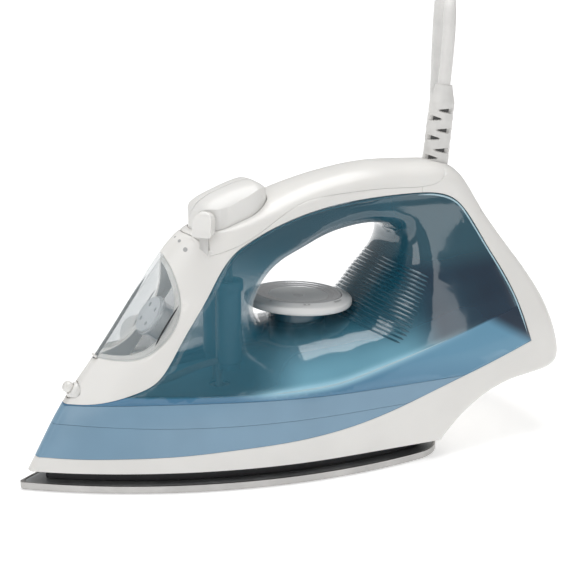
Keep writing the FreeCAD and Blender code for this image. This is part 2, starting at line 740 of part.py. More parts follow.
def build_housing():
    """Every piece of the outer skin: base, bands, tank, frame, top cover, cover and door."""
    wall = plain(size("wall"))
    seam = plain(size("seam")) / 2
    gap = plain(size("clearance"))
    outside = skin_solid(0.0)
    inside = skin_solid(wall)
    lowest = plain(size("skirt_low"))
    floor_cut = Part.makeBox(400, 200, 60, Vector(-200, -100, lowest - 60))

    blue = outside.common(blue_prism(seam)).cut(inside)
    white = outside.cut(blue_prism(-seam)).cut(inside)

    upper_band = beyond(TANK_LINE, -seam, -40)
    tank_side = biggest(blue.common(beyond(TANK_LINE, seam, 220)))
    band = blue.common(upper_band)
    lower = biggest(band.common(beyond(BAND_LINE, -seam, -40)))
    upper = biggest(band.cut(beyond(BAND_LINE, seam, -40)))
    keep("band_lower", solid_feature("lower_band", lower))
    keep("band_upper", solid_feature("upper_band", upper))

    well = Part.makeCylinder(COLLAR_RADIUS + 0.2, 32, dial_point(-22.0), DIAL_AXIS)
    keep("water_tank", solid_feature("tank", biggest(tank_side.cut(well))))

    top = white.common(beyond(CREASE_LINE, seam, 220).cut(side_polygon(
        [(89, 100), (200, 100), (200, 220), (89, 220)])))
    rest = white.cut(beyond(CREASE_LINE, -seam, 220))
    rest = rest.fuse(white.common(side_polygon([(89.2, 141), (200, 141), (200, 220), (89.2, 220)])))
    split = 70.0
    front = rest.common(side_polygon([(-200, 36), (-100, 36), (-60, 60), (split - seam, 120),
                                      (split - seam, 200), (-200, 200)]))
    sleeve_way = Part.makeCylinder(plain(size("sleeve_radius")) + 0.6, 30,
                                   Vector(plain(size("sleeve_x")) - 1.5, 0, 135),
                                   Vector(4.5, 0, 42))
    base = rest.cut(side_polygon([(-200, 36), (-100, 36), (-60, 60), (split + seam, 120),
                                  (split + seam, 200), (-200, 200)]))
    base = base.cut(floor_cut)

    button_well = stadium(plain(size("button_radius")) + gap, 100.0, 170.0)
    reach, half_slot = plain(size("lever_reach")), plain(size("lever_slot")) / 2
    slot = lever_sector(reach - half_slot, reach + half_slot,
                        plain(size("lever_half_turn")) + 8, 100.0, 150.0)
    prow_deck = deck_ahead(reach + half_slot, 0.0)
    front = front.fuse(white.common(prow_deck)).cut(slot)
    top = top.cut(deck_ahead(reach + half_slot - 0.2, plain(size("seam"))))
    top = top.cut(button_well).cut(slot).cut(sleeve_way)
    keep("top_cover", solid_feature("cover", biggest(top)))

    opening = window_prism(0.0)
    hinge = Vector(plain(size("hinge_x")), 0, plain(size("hinge_z")))
    hinge_way = Part.makeCylinder(1.4, 6.4, hinge - ACROSS * 3.2, ACROSS)
    nozzle_way = Part.makeCylinder(5.15, 20, Vector(-112.7, 0, 43.1), Vector(-0.797, 0, 0.604))
    front = biggest(front.cut(opening).cut(hinge_way).cut(button_well).cut(slot).cut(nozzle_way))
    keep("front_frame", solid_feature("frame", front))
    panel = Part.makeBox(80, 36, 66, Vector(95, -18, 64))
    panel_gap = Part.makeBox(80, 36.6, 66.6, Vector(94.7, -18.3, 63.7))
    cover = biggest(base.common(panel.common(side_polygon([(108, 60), (170, 60), (170, 140),
                                                           (108, 140)]))))
    hole = Part.makeCylinder(1.8, 40, Vector(122.1, 0, 73.7), Vector(0.875, 0, 0.485))
    keep("rear_cover", solid_feature("back_plate", biggest(cover.cut(hole))))
    base = biggest(base.cut(panel_gap.common(side_polygon([(107.5, 60), (170, 60), (170, 140),
                                                           (107.5, 140)]))).cut(sleeve_way))
    keep("base_housing", solid_feature("base", base))

    door = outside.common(window_prism(gap)).cut(inside)
    door = door.cut(Part.makeCylinder(HINGE_PIN + 0.08, 5.2, hinge - ACROSS * 2.6, ACROSS))
    keep("filler_door", solid_feature("door", biggest(door)))

    frame_out = skin_solid(wall + 0.4)
    frame_in = skin_solid(wall + 2.2)
    frame = frame_out.common(window_prism(-2.5)).cut(frame_in).cut(window_prism(1.8))
    frame = frame.cut(hinge_way)
    keep("filler_bezel", solid_feature("bezel", biggest(frame)))

    slab = Part.makeBox(262, 120, 2.2, Vector(-150, -60, 38.6))
    floor = biggest(skin_solid(wall + 0.4).common(slab))
    ways = [Part.makeCylinder(r, 20, Vector(x, y, 30)) for r, x, y in [
        (plain(size("shaft_radius")) + 1.4, dial_point(-40.0).x, 0),
        (5.6, plain(size("button_front_x")), 0),
        (2.4, plain(size("pump_x")), plain(size("pump_y"))),
        (7.0, 84.0, 0)]]
    for way in ways:
        floor = floor.cut(way)
    keep("tank_floor", solid_feature("floor_plate", biggest(floor)))


# ---------------------------------------------------------------- buttons, pumps, lever

def button_solid(side):
    """One half of the domed pair of buttons, hollow below; side is -1 near or +1 far."""
    radius = plain(size("button_radius"))
    crest = smooth_table([-58, -55, -52.5, -48.3, -40, -30, -23.4, -18, -13],
                         [129, 134.5, 139, 142.3, 145.8, 149, 150.2, 148.3, 143.5])
    fall = smooth_table([-58, -40, -22, -12], [6.0, 6.0, 4.0, 3.8])

    def roof(lift):
        rows = []
        for i in range(24):
            x = -60.0 + 50.0 * i / 23
            rows.append([Vector(x, y, crest(x) + lift - fall(x) * (abs(y) / 15.4) ** 3.0)
                         for y in [2.0 * j - 18.0 for j in range(19)]])
        surface = Part.BSplineSurface()
        surface.interpolate(rows)
        return surface.toShape().extrude(Vector(0, 0, -60))

    skirt = side_polygon([(-60, 120.5), (-10, 136.5), (-10, 170), (-60, 170)])
    half = Part.makeBox(60, 20, 80, Vector(-64, 0.2 if side > 0 else -20.2, 100))
    inner_half = Part.makeBox(60, 20, 80, Vector(-64, 1.8 if side > 0 else -21.8, 100))
    outside = stadium(radius, 100, 175).common(roof(0.0)).common(half).common(skirt)
    inside = stadium(radius - 1.6, 100, 175).common(roof(-2.0)).common(inner_half)
    y = plain(size("pump_y")) * side
    cap = outside.cut(inside)
    post_foot = Vector(plain(size("pump_x")), y * 0.84, 127)
    post = Part.makeCylinder(2.4, 30, post_foot).common(roof(-1.0))
    return biggest(cap.fuse(post).removeSplitter())


def build_pumps():
    """Two hand pumps side by side, each with its cylinder, piston, spring and button."""
    x, y = size("pump_x"), size("pump_y")
    radius = size("pump_radius")
    low, high = size("pump_low"), size("pump_top")
    tall = high - low
    for label, side in (("spray", -1), ("boost", 1)):
        at = (x, y * side, low)
        keep(label + "_pump", turned(label + "_barrel", [
            (0, 0), (radius - 1.0, 0), (radius - 1.0, 3.0), (radius, 4.0), (radius, tall - 5.0),
            (radius + 1.1, tall - 5.0), (radius + 1.1, tall), (radius - 1.6, tall),
            (radius - 1.6, 6.0), (1.0, 6.0), (1.0, 4.0), (0, 4.0)], at))
        foot = high - 18.0
        top = 126.8
        keep(label + "_piston", turned(label + "_plunger", [
            (0, 0), (radius - 1.9, 0), (radius - 1.9, 7.0), (2.0, 8.0), (2.0, top - plain(foot)),
            (0, top - plain(foot))], (x, y * side, foot)))
        keep(label + "_spring", spring(label + "_coil", plain(x), plain(y) * side,
                                       plain(low) + 6.3, plain(foot) - 0.3, 3.6, 0.45, 6))
        keep(label + "_button", solid_feature(label + "_cap", button_solid(side)))


def spring(name, x, y, low, high, radius, wire_radius, turns):
    """A compression spring: a wire along a helix between two levels."""
    pitch = (high - low - 2 * wire_radius) / turns
    helix = Part.makeHelix(pitch, pitch * turns, radius)
    helix.translate(Vector(x, y, low + wire_radius))
    ring = Part.Wire([Part.makeCircle(wire_radius, Vector(x + radius, y, low + wire_radius),
                                      Vector(0, 1, pitch / (2 * math.pi * radius)))])
    return solid_feature(name, Part.Wire(helix.Edges).makePipeShell([ring], True, True))


def build_steam_lever():
    """Finger lever, its arm and the valve rod it turns, and the valve's seat."""
    axis_x = plain(size("button_front_x"))
    reach = plain(size("lever_reach"))
    turn = plain(size("lever_half_turn"))
    level = 109.0
    arm = Part.makeBox(reach, 3.6, 2.4, Vector(axis_x - reach, -1.8, level))
    hub = Part.makeCylinder(3.6, 4.0, Vector(axis_x, 0, level - 0.8))
    stem = Part.makeBox(1.2, 4.6, 18.6, Vector(axis_x - reach - 0.6, -2.3, level))
    outline = [(-24.6, 126.1), (-24.2, 128.6), (-23.0, 133.0), (-21.3, 137.0), (-19.6, 138.4),
               (-17.4, 137.9), (-16.8, 135.4), (-17.6, 131.0), (-18.4, 127.3)]
    edge = side_edge([(axis_x + a, b) for a, b in outline])
    arch = Part.makeBox(60, 10.0, 33.4, Vector(axis_x - 50, -5.0, 100))
    arch = arch.fuse(Part.makeCylinder(5.0, 60, Vector(axis_x - 50, 0, 133.4), Vector(1, 0, 0)))
    fin = side_prism(edge).common(arch)
    lever = arm.fuse(hub).fuse(stem).fuse(fin)
    bore = Part.makeCylinder(plain(size("rod_radius")), 20, Vector(axis_x, 0, level - 10))
    lever = lever.cut(bore)
    lever.rotate(Vector(axis_x, 0, 0), UP, turn)
    keep("steam_lever", solid_feature("lever", biggest(lever.removeSplitter())))

    axis = size("button_front_x")
    radius = size("rod_radius")
    keep("valve_rod", turned("valve_stem", [
        (0, 36), (0.8, 36), (radius, 41), (radius, 113.4), (radius + 0.9, 113.4),
        (radius + 0.9, 114.6), (0, 114.6)], (axis, 0, 0)))
    keep("valve_seat", turned("seat", [
        (1.5, 14.4), (3.0, 14.4), (3.0, 30.0), (5.4, 32.0), (5.4, 40.0), (3.4, 40.0),
        (3.4, 36.0), (1.5, 34.0)], (axis, 0, 0)))


# ---------------------------------------------------------------- dial

def build_dial():
    """Dial ring, brushed inlay, shaft and the collar it stands over."""
    axis = tuple(DIAL_AXIS)
    radius, thick = size("dial_radius"), size("dial_thick")
    at = (size("dial_x"), 0, size("dial_low"))
    keep("dial", turned("dial_ring", [
        (0, 0), (radius - 4.5, 0), (radius - 1.2, 1.0), (radius, 2.4), (radius, thick - 2.2),
        (radius - 1.4, thick - 0.6), (radius - 5.4, thick), (radius - 5.4, thick - 1.4),
        (0, thick - 3.4)], at, axis))
    keep("dial_inlay", turned("inlay", [
        (0, thick - 3.3), (radius - 5.5, thick - 1.3), (radius - 5.5, thick - 0.1),
        (radius - 9.5, thick - 0.5), (radius - 10.5, thick - 1.0), (radius - 14.5, thick - 1.4),
        (0, thick - 2.3)], at, axis))
    shaft_radius = size("shaft_radius")
    keep("dial_shaft", turned("shaft", [
        (0, -48.6), (2.2, -48.6), (shaft_radius, -46.6), (shaft_radius, -4.4), (9.0, -3.4),
        (9.0, -0.1), (0, -0.1)], at, axis))
    keep("dial_collar", turned("collar", [
        (shaft_radius + 0.6, -19.6), (COLLAR_RADIUS - 0.6, -19.6), (COLLAR_RADIUS, -2.2),
        (COLLAR_RADIUS - 1.6, -2.2), (COLLAR_RADIUS - 2.0, -8.2), (shaft_radius + 0.6, -8.2)],
        at, axis))


# ---------------------------------------------------------------- filler and spray

def build_filler():
    """Filler port with its strainer, the door's hinge pin, and the spray nozzle."""
    out = (-0.809, 0, 0.588)
    at = (size("port_x"), 0, size("port_z"))
    radius = size("port_radius")
    keep("filler_port", turned("port", [
        (radius - 1.6, -9.0), (radius, -9.0), (radius, -1.6), (radius + 1.2, -1.6),
        (radius + 1.2, 0), (radius - 1.6, 0)], at, out))
    disc = rod("strainer_disc", radius, 1.4, at, out)
    disc.Placement.Base = disc.Placement.Base + Vector(*out) * 0.2
    turn = Rotation(UP, Vector(*out))
    holes = []
    for i in range(4):
        angle = math.radians(40 + 90 * i)
        centre = Vector(plain(at[0]), 0, plain(at[2])) + turn.multVec(
            Vector(6.0 * math.cos(angle), 6.0 * math.sin(angle), -2.0))
        holes.append(rod(f"strainer_hole_{i}", 1.2, 6.0, tuple(centre), out))
    keep("filler_strainer", minus("strainer", disc, group("strainer_holes", holes)))
    pin = rod("door_pin", HINGE_PIN, 4.8, (size("hinge_x"), -2.4, size("hinge_z")), ACROSS)
    keep("door_hinge_pin", pin)

    nose = (-0.797, 0, 0.604)
    keep("nozzle_collar", turned("collar_ring", [
        (2.7, 7.8), (5.0, 7.8), (4.4, 10.3), (3.4, 11.4), (2.7, 11.4)], (-112.7, 0, 43.1), nose))
    tip = turned("nozzle_body", [
        (0, 2.0), (2.4, 2.0), (2.4, 11.9), (3.0, 12.4), (3.0, 14.0), (2.2, 15.3), (0.5, 15.7),
        (0.5, 14.8), (0, 14.8)], (-112.7, 0, 43.1), nose)
    keep("spray_nozzle", tip)
    side_y = -plain(size("pump_y"))
    keep("spray_hose", tube_along("hose", [
        (-44.9, side_y, 57.0), (-58.0, side_y, 55.0), (-72.0, -8.0, 50.0), (-88.0, -4.0, 46.4),
        (-101.0, -1.0, 46.0), (-108.5, 0.0, 46.8), (-113.2, 0.0, 46.0)], 1.8))
    keep("boost_tube", rod("boost_pipe", 1.8, size("pump_low") - 14.4 - 0.2,
                           (size("pump_x"), size("pump_y"), 14.4)))


# ---------------------------------------------------------------- back of the handle

def build_electrics():
    """Bracket, terminal block, lamp, cord clamp, duct, inner leads and the back's screw."""
    keep("cord_bracket", build_bracket())
    keep("terminal_block", rounded("terminals", block("terminal_box", 12.0, 15.0, 14.0,
                                                      (91.0, 0, 116.0)), 1.0,
                                   lambda e: e.BoundBox.ZLength > 5))
    keep("pilot_lamp", turned("lamp", [(0, 0), (2.6, 0), (2.6, 9.0), (1.4, 11.0), (0, 11.4)],
                              (64.0, 0, 127.0)))
    saddle = block("clamp_bar", 5.0, 21.0, 4.6, (85.6, 0, 132.0))
    lead = rod("clamp_way", 3.7, 12.0, (86.6, 0, 129.0), (0.1066, 0, 0.9943))
    keep("cord_clamp", minus("clamp", saddle, lead))
    screws = [turned(f"clamp_screw_{i}", [(0, 0), (2.6, 0), (2.6, 1.8), (1.4, 1.8), (1.4, 5.0),
                                          (0, 5.0)], (83.0, y, 134.3), (-1, 0, 0)) for i, y in
              enumerate((-7.4, 7.4))]
    keep("clamp_screws", group("clamp_screw_set", screws))
    keep("wire_duct", tube_along("duct", [
        (96.0, 0, 114.0), (96.0, 0, 98.0), (92.0, 0, 74.0), (85.5, 0, 56.0), (84.0, 0, 41.2)],
        5.4))
    leads = []
    for i, y in enumerate((-7.5, 0.0, 7.5)):
        leads.append(tube_along(f"lead_{i}", [(84.0, y * 0.5, 36.0), (72.0, y * 0.8, 32.0),
                                              (58.0, y * 1.5, 29.0), (44.0, y * 2.2, 28.0)], 1.2))
    keep("internal_leads", group("lead_set", leads))
    keep("back_screw", turned("back_bolt", [(0, -9.0), (1.5, -9.0), (1.5, 0.6), (3.2, 0.6), (3.2, 2.6),
                                            (0, 2.6)], (139.6, 0, 83.4), (0.875, 0, 0.485)))


def build_bracket():
    """The dark moulded frame in the rear column, with its window."""
    outline = [(65.0, 129.0), (79.0, 133.0), (93.0, 128.0), (84.0, 110.0), (79.0, 92.0),
               (88.0, 84.0), (76.0, 84.0), (72.0, 99.0), (65.0, 104.0)]
    plate = padded("bracket_plate", outline, 8.5, 3.0, "XZ_Plane")
    window = padded("bracket_window", [(67.6, 121.0), (75.5, 121.0), (75.0, 104.0), (67.6, 107.6)],
                    7.0, 6.0, "XZ_Plane")
    return minus("bracket", plate, window)


# ---------------------------------------------------------------- mains lead

SLEEVE_WAY = Vector(4.5, 0, 42).normalize()


def sleeve_foot():
    """The point on the sleeve's axis where it enters the handle."""
    return Vector(plain(size("sleeve_x")) - 0.8, 0, 146.0)


def build_sleeve():
    """The slotted strain relief and the gland that holds it."""
    foot = sleeve_foot()
    radius, long = size("sleeve_radius"), size("sleeve_long")
    keep("cord_gland", turned("gland", [
        (radius + 0.1, -5.6), (radius + 1.9, -5.6), (radius + 1.9, -4.4), (radius + 0.1, -4.4)],
        tuple(foot), tuple(SLEEVE_WAY)))
    sleeve = turned("sleeve", [
        (3.6, -8.0), (radius + 0.6, -8.0), (radius + 0.6, -6.0), (radius, -6.0), (radius, 4.0),
        (radius - 0.3, long - 10.0), (radius - 1.4, long - 3.0), (radius - 2.4, long),
        (3.6, long)], tuple(foot), tuple(SLEEVE_WAY))
    cuts = []
    for i in range(7):
        for side in (-1, 1):
            along = 7.0 + 5.0 * i + (0 if side < 0 else 2.5)
            centre = foot + SLEEVE_WAY * along
            slit = block(f"sleeve_slit_{i}_{side}", 16.0, 5.6, 1.7, (0, 0, 0))
            slit.Placement = FreeCAD.Placement(
                centre + Vector(side * 12.6, 0, 0) - Vector(8.0, 2.8, 0), Rotation())
            cuts.append(slit)
    keep("strain_relief", minus("sleeve_cut", sleeve, group("sleeve_slits", cuts)))


# The lead rises out of the sleeve, bends over behind it, comes down behind the body
# and curves along the floor to the coil.
LEAD_ROUTE = [
    (93.0, 0.0, 191.7), (96.3, 0.0, 222.5), (106.2, 20.8, 245.5), (120.2, 50.1, 245.5),
    (130.1, 70.9, 222.5), (132.9, 77.0, 188.5), (134.6, 81.0, 134.0), (134.2, 84.0, 80.0),
    (133.5, 89.0, 30.0), (130.5, 113.0, 3.6), (118.0, 145.0, 3.6),
]
PLUG_ENTRY = (2.0, 155.0, 18.7)
TAIL_ROUTE = [(73.0, 168.1, 10.9), (48.0, 166.5, 13.5), (24.5, 160.6, 17.6), PLUG_ENTRY]


def build_lead():
    """The mains lead: its hanging run, the tied coil, the tail and the plug."""
    radius = plain(size("lead_radius"))
    keep("cord", tube_along("lead", LEAD_ROUTE, radius, report=True))
    keep("cord_tail", tube_along("tail", TAIL_ROUTE, radius, report=True))
    middle = size("coil_radius")
    half = 12.9
    tall = 14.4
    keep("cord_coil", turned("coil", [
        (middle - half, 3.0), (middle - half + 2.4, 0.6), (middle + half - 2.4, 0.6),
        (middle + half, 3.0), (middle + half, tall - 2.4), (middle + half - 2.4, tall),
        (middle - half + 2.4, tall), (middle - half, tall - 2.4)],
        (size("coil_x"), size("coil_y"), 0)))
    tie_x = plain(size("coil_x"))
    tie_y = plain(size("coil_y")) - plain(middle)
    outside = block("tie_outside", 8.0, 29.2, 16.0, (tie_x, tie_y, 0.02))
    inside = block("tie_inside", 10.0, 27.2, 14.5, (tie_x, tie_y, 0.5))
    keep("cord_tie", minus("tie", rounded("tie_round", outside, 1.5,
                                          lambda e: e.BoundBox.XLength > 7), inside))
    build_plug(Vector(*PLUG_ENTRY))


def build_plug(entry):
    """A round two-pin mains plug that lies on its side, and its pair of pins."""
    way = Vector(-0.9701, -0.2425, 0)
    keep("plug_body", turned("plug_shell", [
        (3.55, -1.0), (5.2, 0), (6.2, 14.0), (9.0, 21.0), (17.5, 26.0), (18.6, 28.0), (18.6, 37.0),
        (17.8, 39.0), (0, 39.0), (0, 12.0), (3.55, 12.0)], tuple(entry), tuple(way)))
    side = way.cross(UP).normalize()
    half = plain(size("pin_spacing")) / 2
    pins = []
    for i, offset in enumerate((-half, half)):
        foot = entry + way * 39.0 + side * offset
        pins.append(turned(f"plug_pin_{i}", [
            (0, 0.02), (size("pin_radius"), 0.02), (size("pin_radius"), 17.6), (1.6, 19.0), (0, 19.0)],
            tuple(foot), tuple(way)))
    keep("plug_pins", group("pin_pair", pins))


# ---------------------------------------------------------------- build and export

def check_document():
    """Stop if any object failed or any sub-part is not a valid solid."""
    doc.recompute()
    for item in doc.Objects:
        if "Invalid" in item.State or "Error" in item.State:
            raise RuntimeError(f"{item.Label}: {item.State}")
    for label, item in NODES.items():
        shape = item.Shape
        if shape.isNull() or not shape.isValid() or not shape.Solids:
            raise RuntimeError(f"{label}: not a valid solid")


def export_parts():
    """Write each sub-part to its own STEP file."""
    os.makedirs("parts", exist_ok=True)
    for old in os.listdir("parts"):
        if old.endswith(".step"):
            os.remove(os.path.join("parts", old))
    for label, item in NODES.items():
        item.Shape.exportStep(os.path.join("parts", label + ".step"))
        box = item.Shape.BoundBox
        print(f"{label}: {len(item.Shape.Solids)} solid(s), x {box.XMin:.1f} to {box.XMax:.1f},"
              f" y {box.YMin:.1f} to {box.YMax:.1f}, z {box.ZMin:.1f} to {box.ZMax:.1f}")
    print(f"{len(NODES)} nodes")


build_soleplate()
build_housing()
build_pumps()
build_steam_lever()
build_dial()
build_filler()
build_electrics()
build_sleeve()
build_lead()
check_document()
export_parts()
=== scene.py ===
"""Looks of a corded steam iron: its moulded shells, tank, dial, buttons, lead and finishes.

Everything is in metres in the iron's own frame: nose towards -X, far side +Y, +Z up,
and the sole's underside at height zero.
"""

import json
import logging
import math
from dataclasses import dataclass, field
from enum import Enum
from typing import Optional, Sequence, Union

import bmesh
import bpy
import numpy as np
from mathutils import Matrix, Vector

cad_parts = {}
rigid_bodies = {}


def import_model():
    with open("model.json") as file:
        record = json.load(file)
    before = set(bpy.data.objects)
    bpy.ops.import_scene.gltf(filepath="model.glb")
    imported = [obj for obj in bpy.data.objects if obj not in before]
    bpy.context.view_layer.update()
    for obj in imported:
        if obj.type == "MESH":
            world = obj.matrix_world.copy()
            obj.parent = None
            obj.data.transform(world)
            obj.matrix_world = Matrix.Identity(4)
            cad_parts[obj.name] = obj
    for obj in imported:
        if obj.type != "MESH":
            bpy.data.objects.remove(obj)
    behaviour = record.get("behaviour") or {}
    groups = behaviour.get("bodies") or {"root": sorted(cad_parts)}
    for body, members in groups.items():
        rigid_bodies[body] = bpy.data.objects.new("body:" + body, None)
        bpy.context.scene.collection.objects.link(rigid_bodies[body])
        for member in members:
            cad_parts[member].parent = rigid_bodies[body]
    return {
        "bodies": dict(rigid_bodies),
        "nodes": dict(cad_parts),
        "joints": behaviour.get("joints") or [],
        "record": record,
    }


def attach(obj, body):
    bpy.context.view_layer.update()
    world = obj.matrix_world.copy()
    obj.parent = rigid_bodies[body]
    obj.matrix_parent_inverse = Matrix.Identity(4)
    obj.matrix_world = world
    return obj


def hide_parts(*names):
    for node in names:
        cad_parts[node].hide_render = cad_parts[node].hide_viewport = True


LOG = logging.getLogger("steam_iron")
MM = 0.001
CREASE_LEVEL = 47.2
CREASE_SLOPE = 0.24
CREASE_TURN = 5.0
CREASE_ROUNDING = 9.0
Number = Union[float, "Signal"]
Colour = tuple[float, float, float]


# ------------------------------------------------------------------ shader expressions

class Signal:
    """A shader socket that takes part in Python sums, products and powers."""

    def __init__(self, graph: "Graph", socket: bpy.types.NodeSocket) -> None:
        """Wrap one output socket of a graph."""
        self.graph = graph
        self.socket = socket

    def math(self, operation: str, *others: Number) -> "Signal":
        """Return a Math node of this signal and other numbers.

        Args:
            operation: the Math node's operation.
            others: its second and third inputs.

        Returns:
            The node's value.
        """
        values = {i: item for i, item in enumerate((self, *others))}
        return self.graph.node("Math", {"operation": operation}, values)

    def __add__(self, other: Number) -> "Signal":
        """Sum."""
        return self.math("ADD", other)

    __radd__ = __add__

    def __sub__(self, other: Number) -> "Signal":
        """Difference."""
        return self.math("SUBTRACT", other)

    def __rsub__(self, other: Number) -> "Signal":
        """Difference taken from a plain number."""
        return (self * -1.0) + other

    def __mul__(self, other: Number) -> "Signal":
        """Product."""
        return self.math("MULTIPLY", other)

    __rmul__ = __mul__

    def __pow__(self, other: Number) -> "Signal":
        """Power."""
        return self.math("POWER", other)

    def step(self, low: float, high: float) -> "Signal":
        """Return 0 below low and 1 above high, smooth between them."""
        settings = {"interpolation_type": "SMOOTHSTEP"}
        return self.graph.node("MapRange", settings, {"Value": self, 1: low, 2: high}, "Result")


class Graph:
    """A material's node tree and one generic way to add nodes to it."""

    def __init__(self, name: str) -> None:
        """Create an empty material of that name."""
        self.material = bpy.data.materials.new(name)
        self.material.use_nodes = True
        self.tree = self.material.node_tree
        self.tree.nodes.clear()

    def node(self, kind: str, settings: Optional[dict] = None, values: Optional[dict] = None,
             output: Union[int, str] = 0) -> Signal:
        """Add a node, set it up and feed its sockets.

        Args:
            kind: the node's type without the words ShaderNode.
            settings: its attributes.
            values: its inputs by name or number, each a Signal or a plain value.
            output: which output is returned.

        Returns:
            The chosen output as a Signal.
        """
        item = self.tree.nodes.new("ShaderNode" + kind)
        for name, value in (settings or {}).items():
            setattr(item, name, value)
        for name, value in (values or {}).items():
            if isinstance(value, Signal):
                self.tree.links.new(value.socket, item.inputs[name])
            else:
                item.inputs[name].default_value = value
        return Signal(self, item.outputs[output])

    def place(self) -> Signal:
        """Return Object coordinates, in metres."""
        return self.node("TexCoord", None, None, "Object")

    def axes(self) -> tuple[Signal, Signal, Signal]:
        """Return the three Object coordinates in millimetres."""
        split = self.tree.nodes.new("ShaderNodeSeparateXYZ")
        self.tree.links.new(self.place().socket, split.inputs[0])
        return tuple(Signal(self, socket) * (1.0 / MM) for socket in split.outputs)

    def noise(self, per_metre: float, detail: float = 3.0,
              stretch: Sequence[float] = (1.0, 1.0, 1.0)) -> Signal:
        """Return fractal noise from 0 to 1 on Object coordinates.

        Args:
            per_metre: how many blotches fit in a metre.
            detail: octaves.
            stretch: scale along each axis.

        Returns:
            The noise value.
        """
        moved = self.node("Mapping", {"vector_type": "TEXTURE"}, {0: self.place(), "Scale": stretch})
        return self.node("TexNoise", None, {"Vector": moved, "Scale": per_metre,
                                            "Detail": detail, "Roughness": 0.6})

    def mix(self, share: Number, first: Union[Colour, Signal], second: Union[Colour, Signal]) -> Signal:
        """Blend two colours by a share from 0 to 1.

        Args:
            share: how much of the second colour shows.
            first: the colour at 0.
            second: the colour at 1.

        Returns:
            The blended colour.
        """
        fill = {"Factor": share}
        for name, colour in ((6, first), (7, second)):
            fill[name] = colour if isinstance(colour, Signal) else (*colour, 1.0)
        return self.node("Mix", {"data_type": "RGBA"}, fill, 2)

    def bump(self, height: Signal, strength: float, depth: float) -> Signal:
        """Return a normal bumped by a height, with its depth in metres.

        Args:
            height: the height, from 0 to 1.
            strength: how strongly it shows.
            depth: what a height of 1 measures, in metres.

        Returns:
            The bumped normal.
        """
        return self.node("Bump", None, {"Height": height, "Strength": strength, "Distance": depth})

    def surface(self, **inputs: Union[float, Colour, Signal]) -> bpy.types.Material:
        """Close the graph with one Principled shader.

        Args:
            inputs: its sockets, with underscores for the spaces in their names.

        Returns:
            The finished material.
        """
        values = {}
        for name, value in inputs.items():
            socket = name.replace("_", " ").title().replace("Ior", "IOR")
            if isinstance(value, tuple) and "Color" in socket:
                value = (*value, 1.0)
            values[socket] = value
        shader = self.node("BsdfPrincipled", None, values, "BSDF")
        out = self.tree.nodes.new("ShaderNodeOutputMaterial")
        self.tree.links.new(shader.socket, out.inputs["Surface"])
        return self.material


# ------------------------------------------------------------------ finishes

def crease_height(x: Union[np.ndarray, Signal]) -> Union[np.ndarray, Signal]:
    """Return the tank's crease height in millimetres: level ahead of its turn, then a slope.

    With the run as the slope times the distance behind the turn, it is the level plus half
    of the run and of the square root of the run squared plus the rounding.

    Args:
        x: places along the iron, in millimetres.

    Returns:
        The heights there.
    """
    run = (x - CREASE_TURN) * CREASE_SLOPE
    return (run + (run * run + CREASE_ROUNDING) ** 0.5) * 0.5 + CREASE_LEVEL


@dataclass(frozen=True)
class MouldedPlastic:
    """Opaque moulded plastic: slight flow mottling, fine spark texture and a thin sheen."""

    name: str
    colour: Colour
    roughness: float = 0.32
    coat: float = 0.25
    grain: float = 0.04
    mottle: float = 0.02
    scatter: float = 0.0

    def make(self) -> bpy.types.Material:
        """Build the material."""
        graph = Graph(self.name)
        cloud = graph.noise(28.0, 2.0)
        spark = graph.noise(2600.0, 2.0)
        dark = tuple(c * (1.0 - 2.5 * self.mottle) for c in self.colour)
        bright = tuple(min(c * (1.0 + self.mottle), 1.0) for c in self.colour)
        tone = graph.mix(cloud.step(0.3, 0.7), dark, bright)
        rough = cloud * 0.06 + spark * 0.05 + (self.roughness - 0.055)
        return graph.surface(base_color=tone, roughness=rough, coat_weight=self.coat,
                             coat_roughness=0.12, subsurface_weight=self.scatter,
                             subsurface_radius=(0.006, 0.005, 0.004), subsurface_scale=1.0,
                             normal=graph.bump(spark, self.grain, 0.0002))


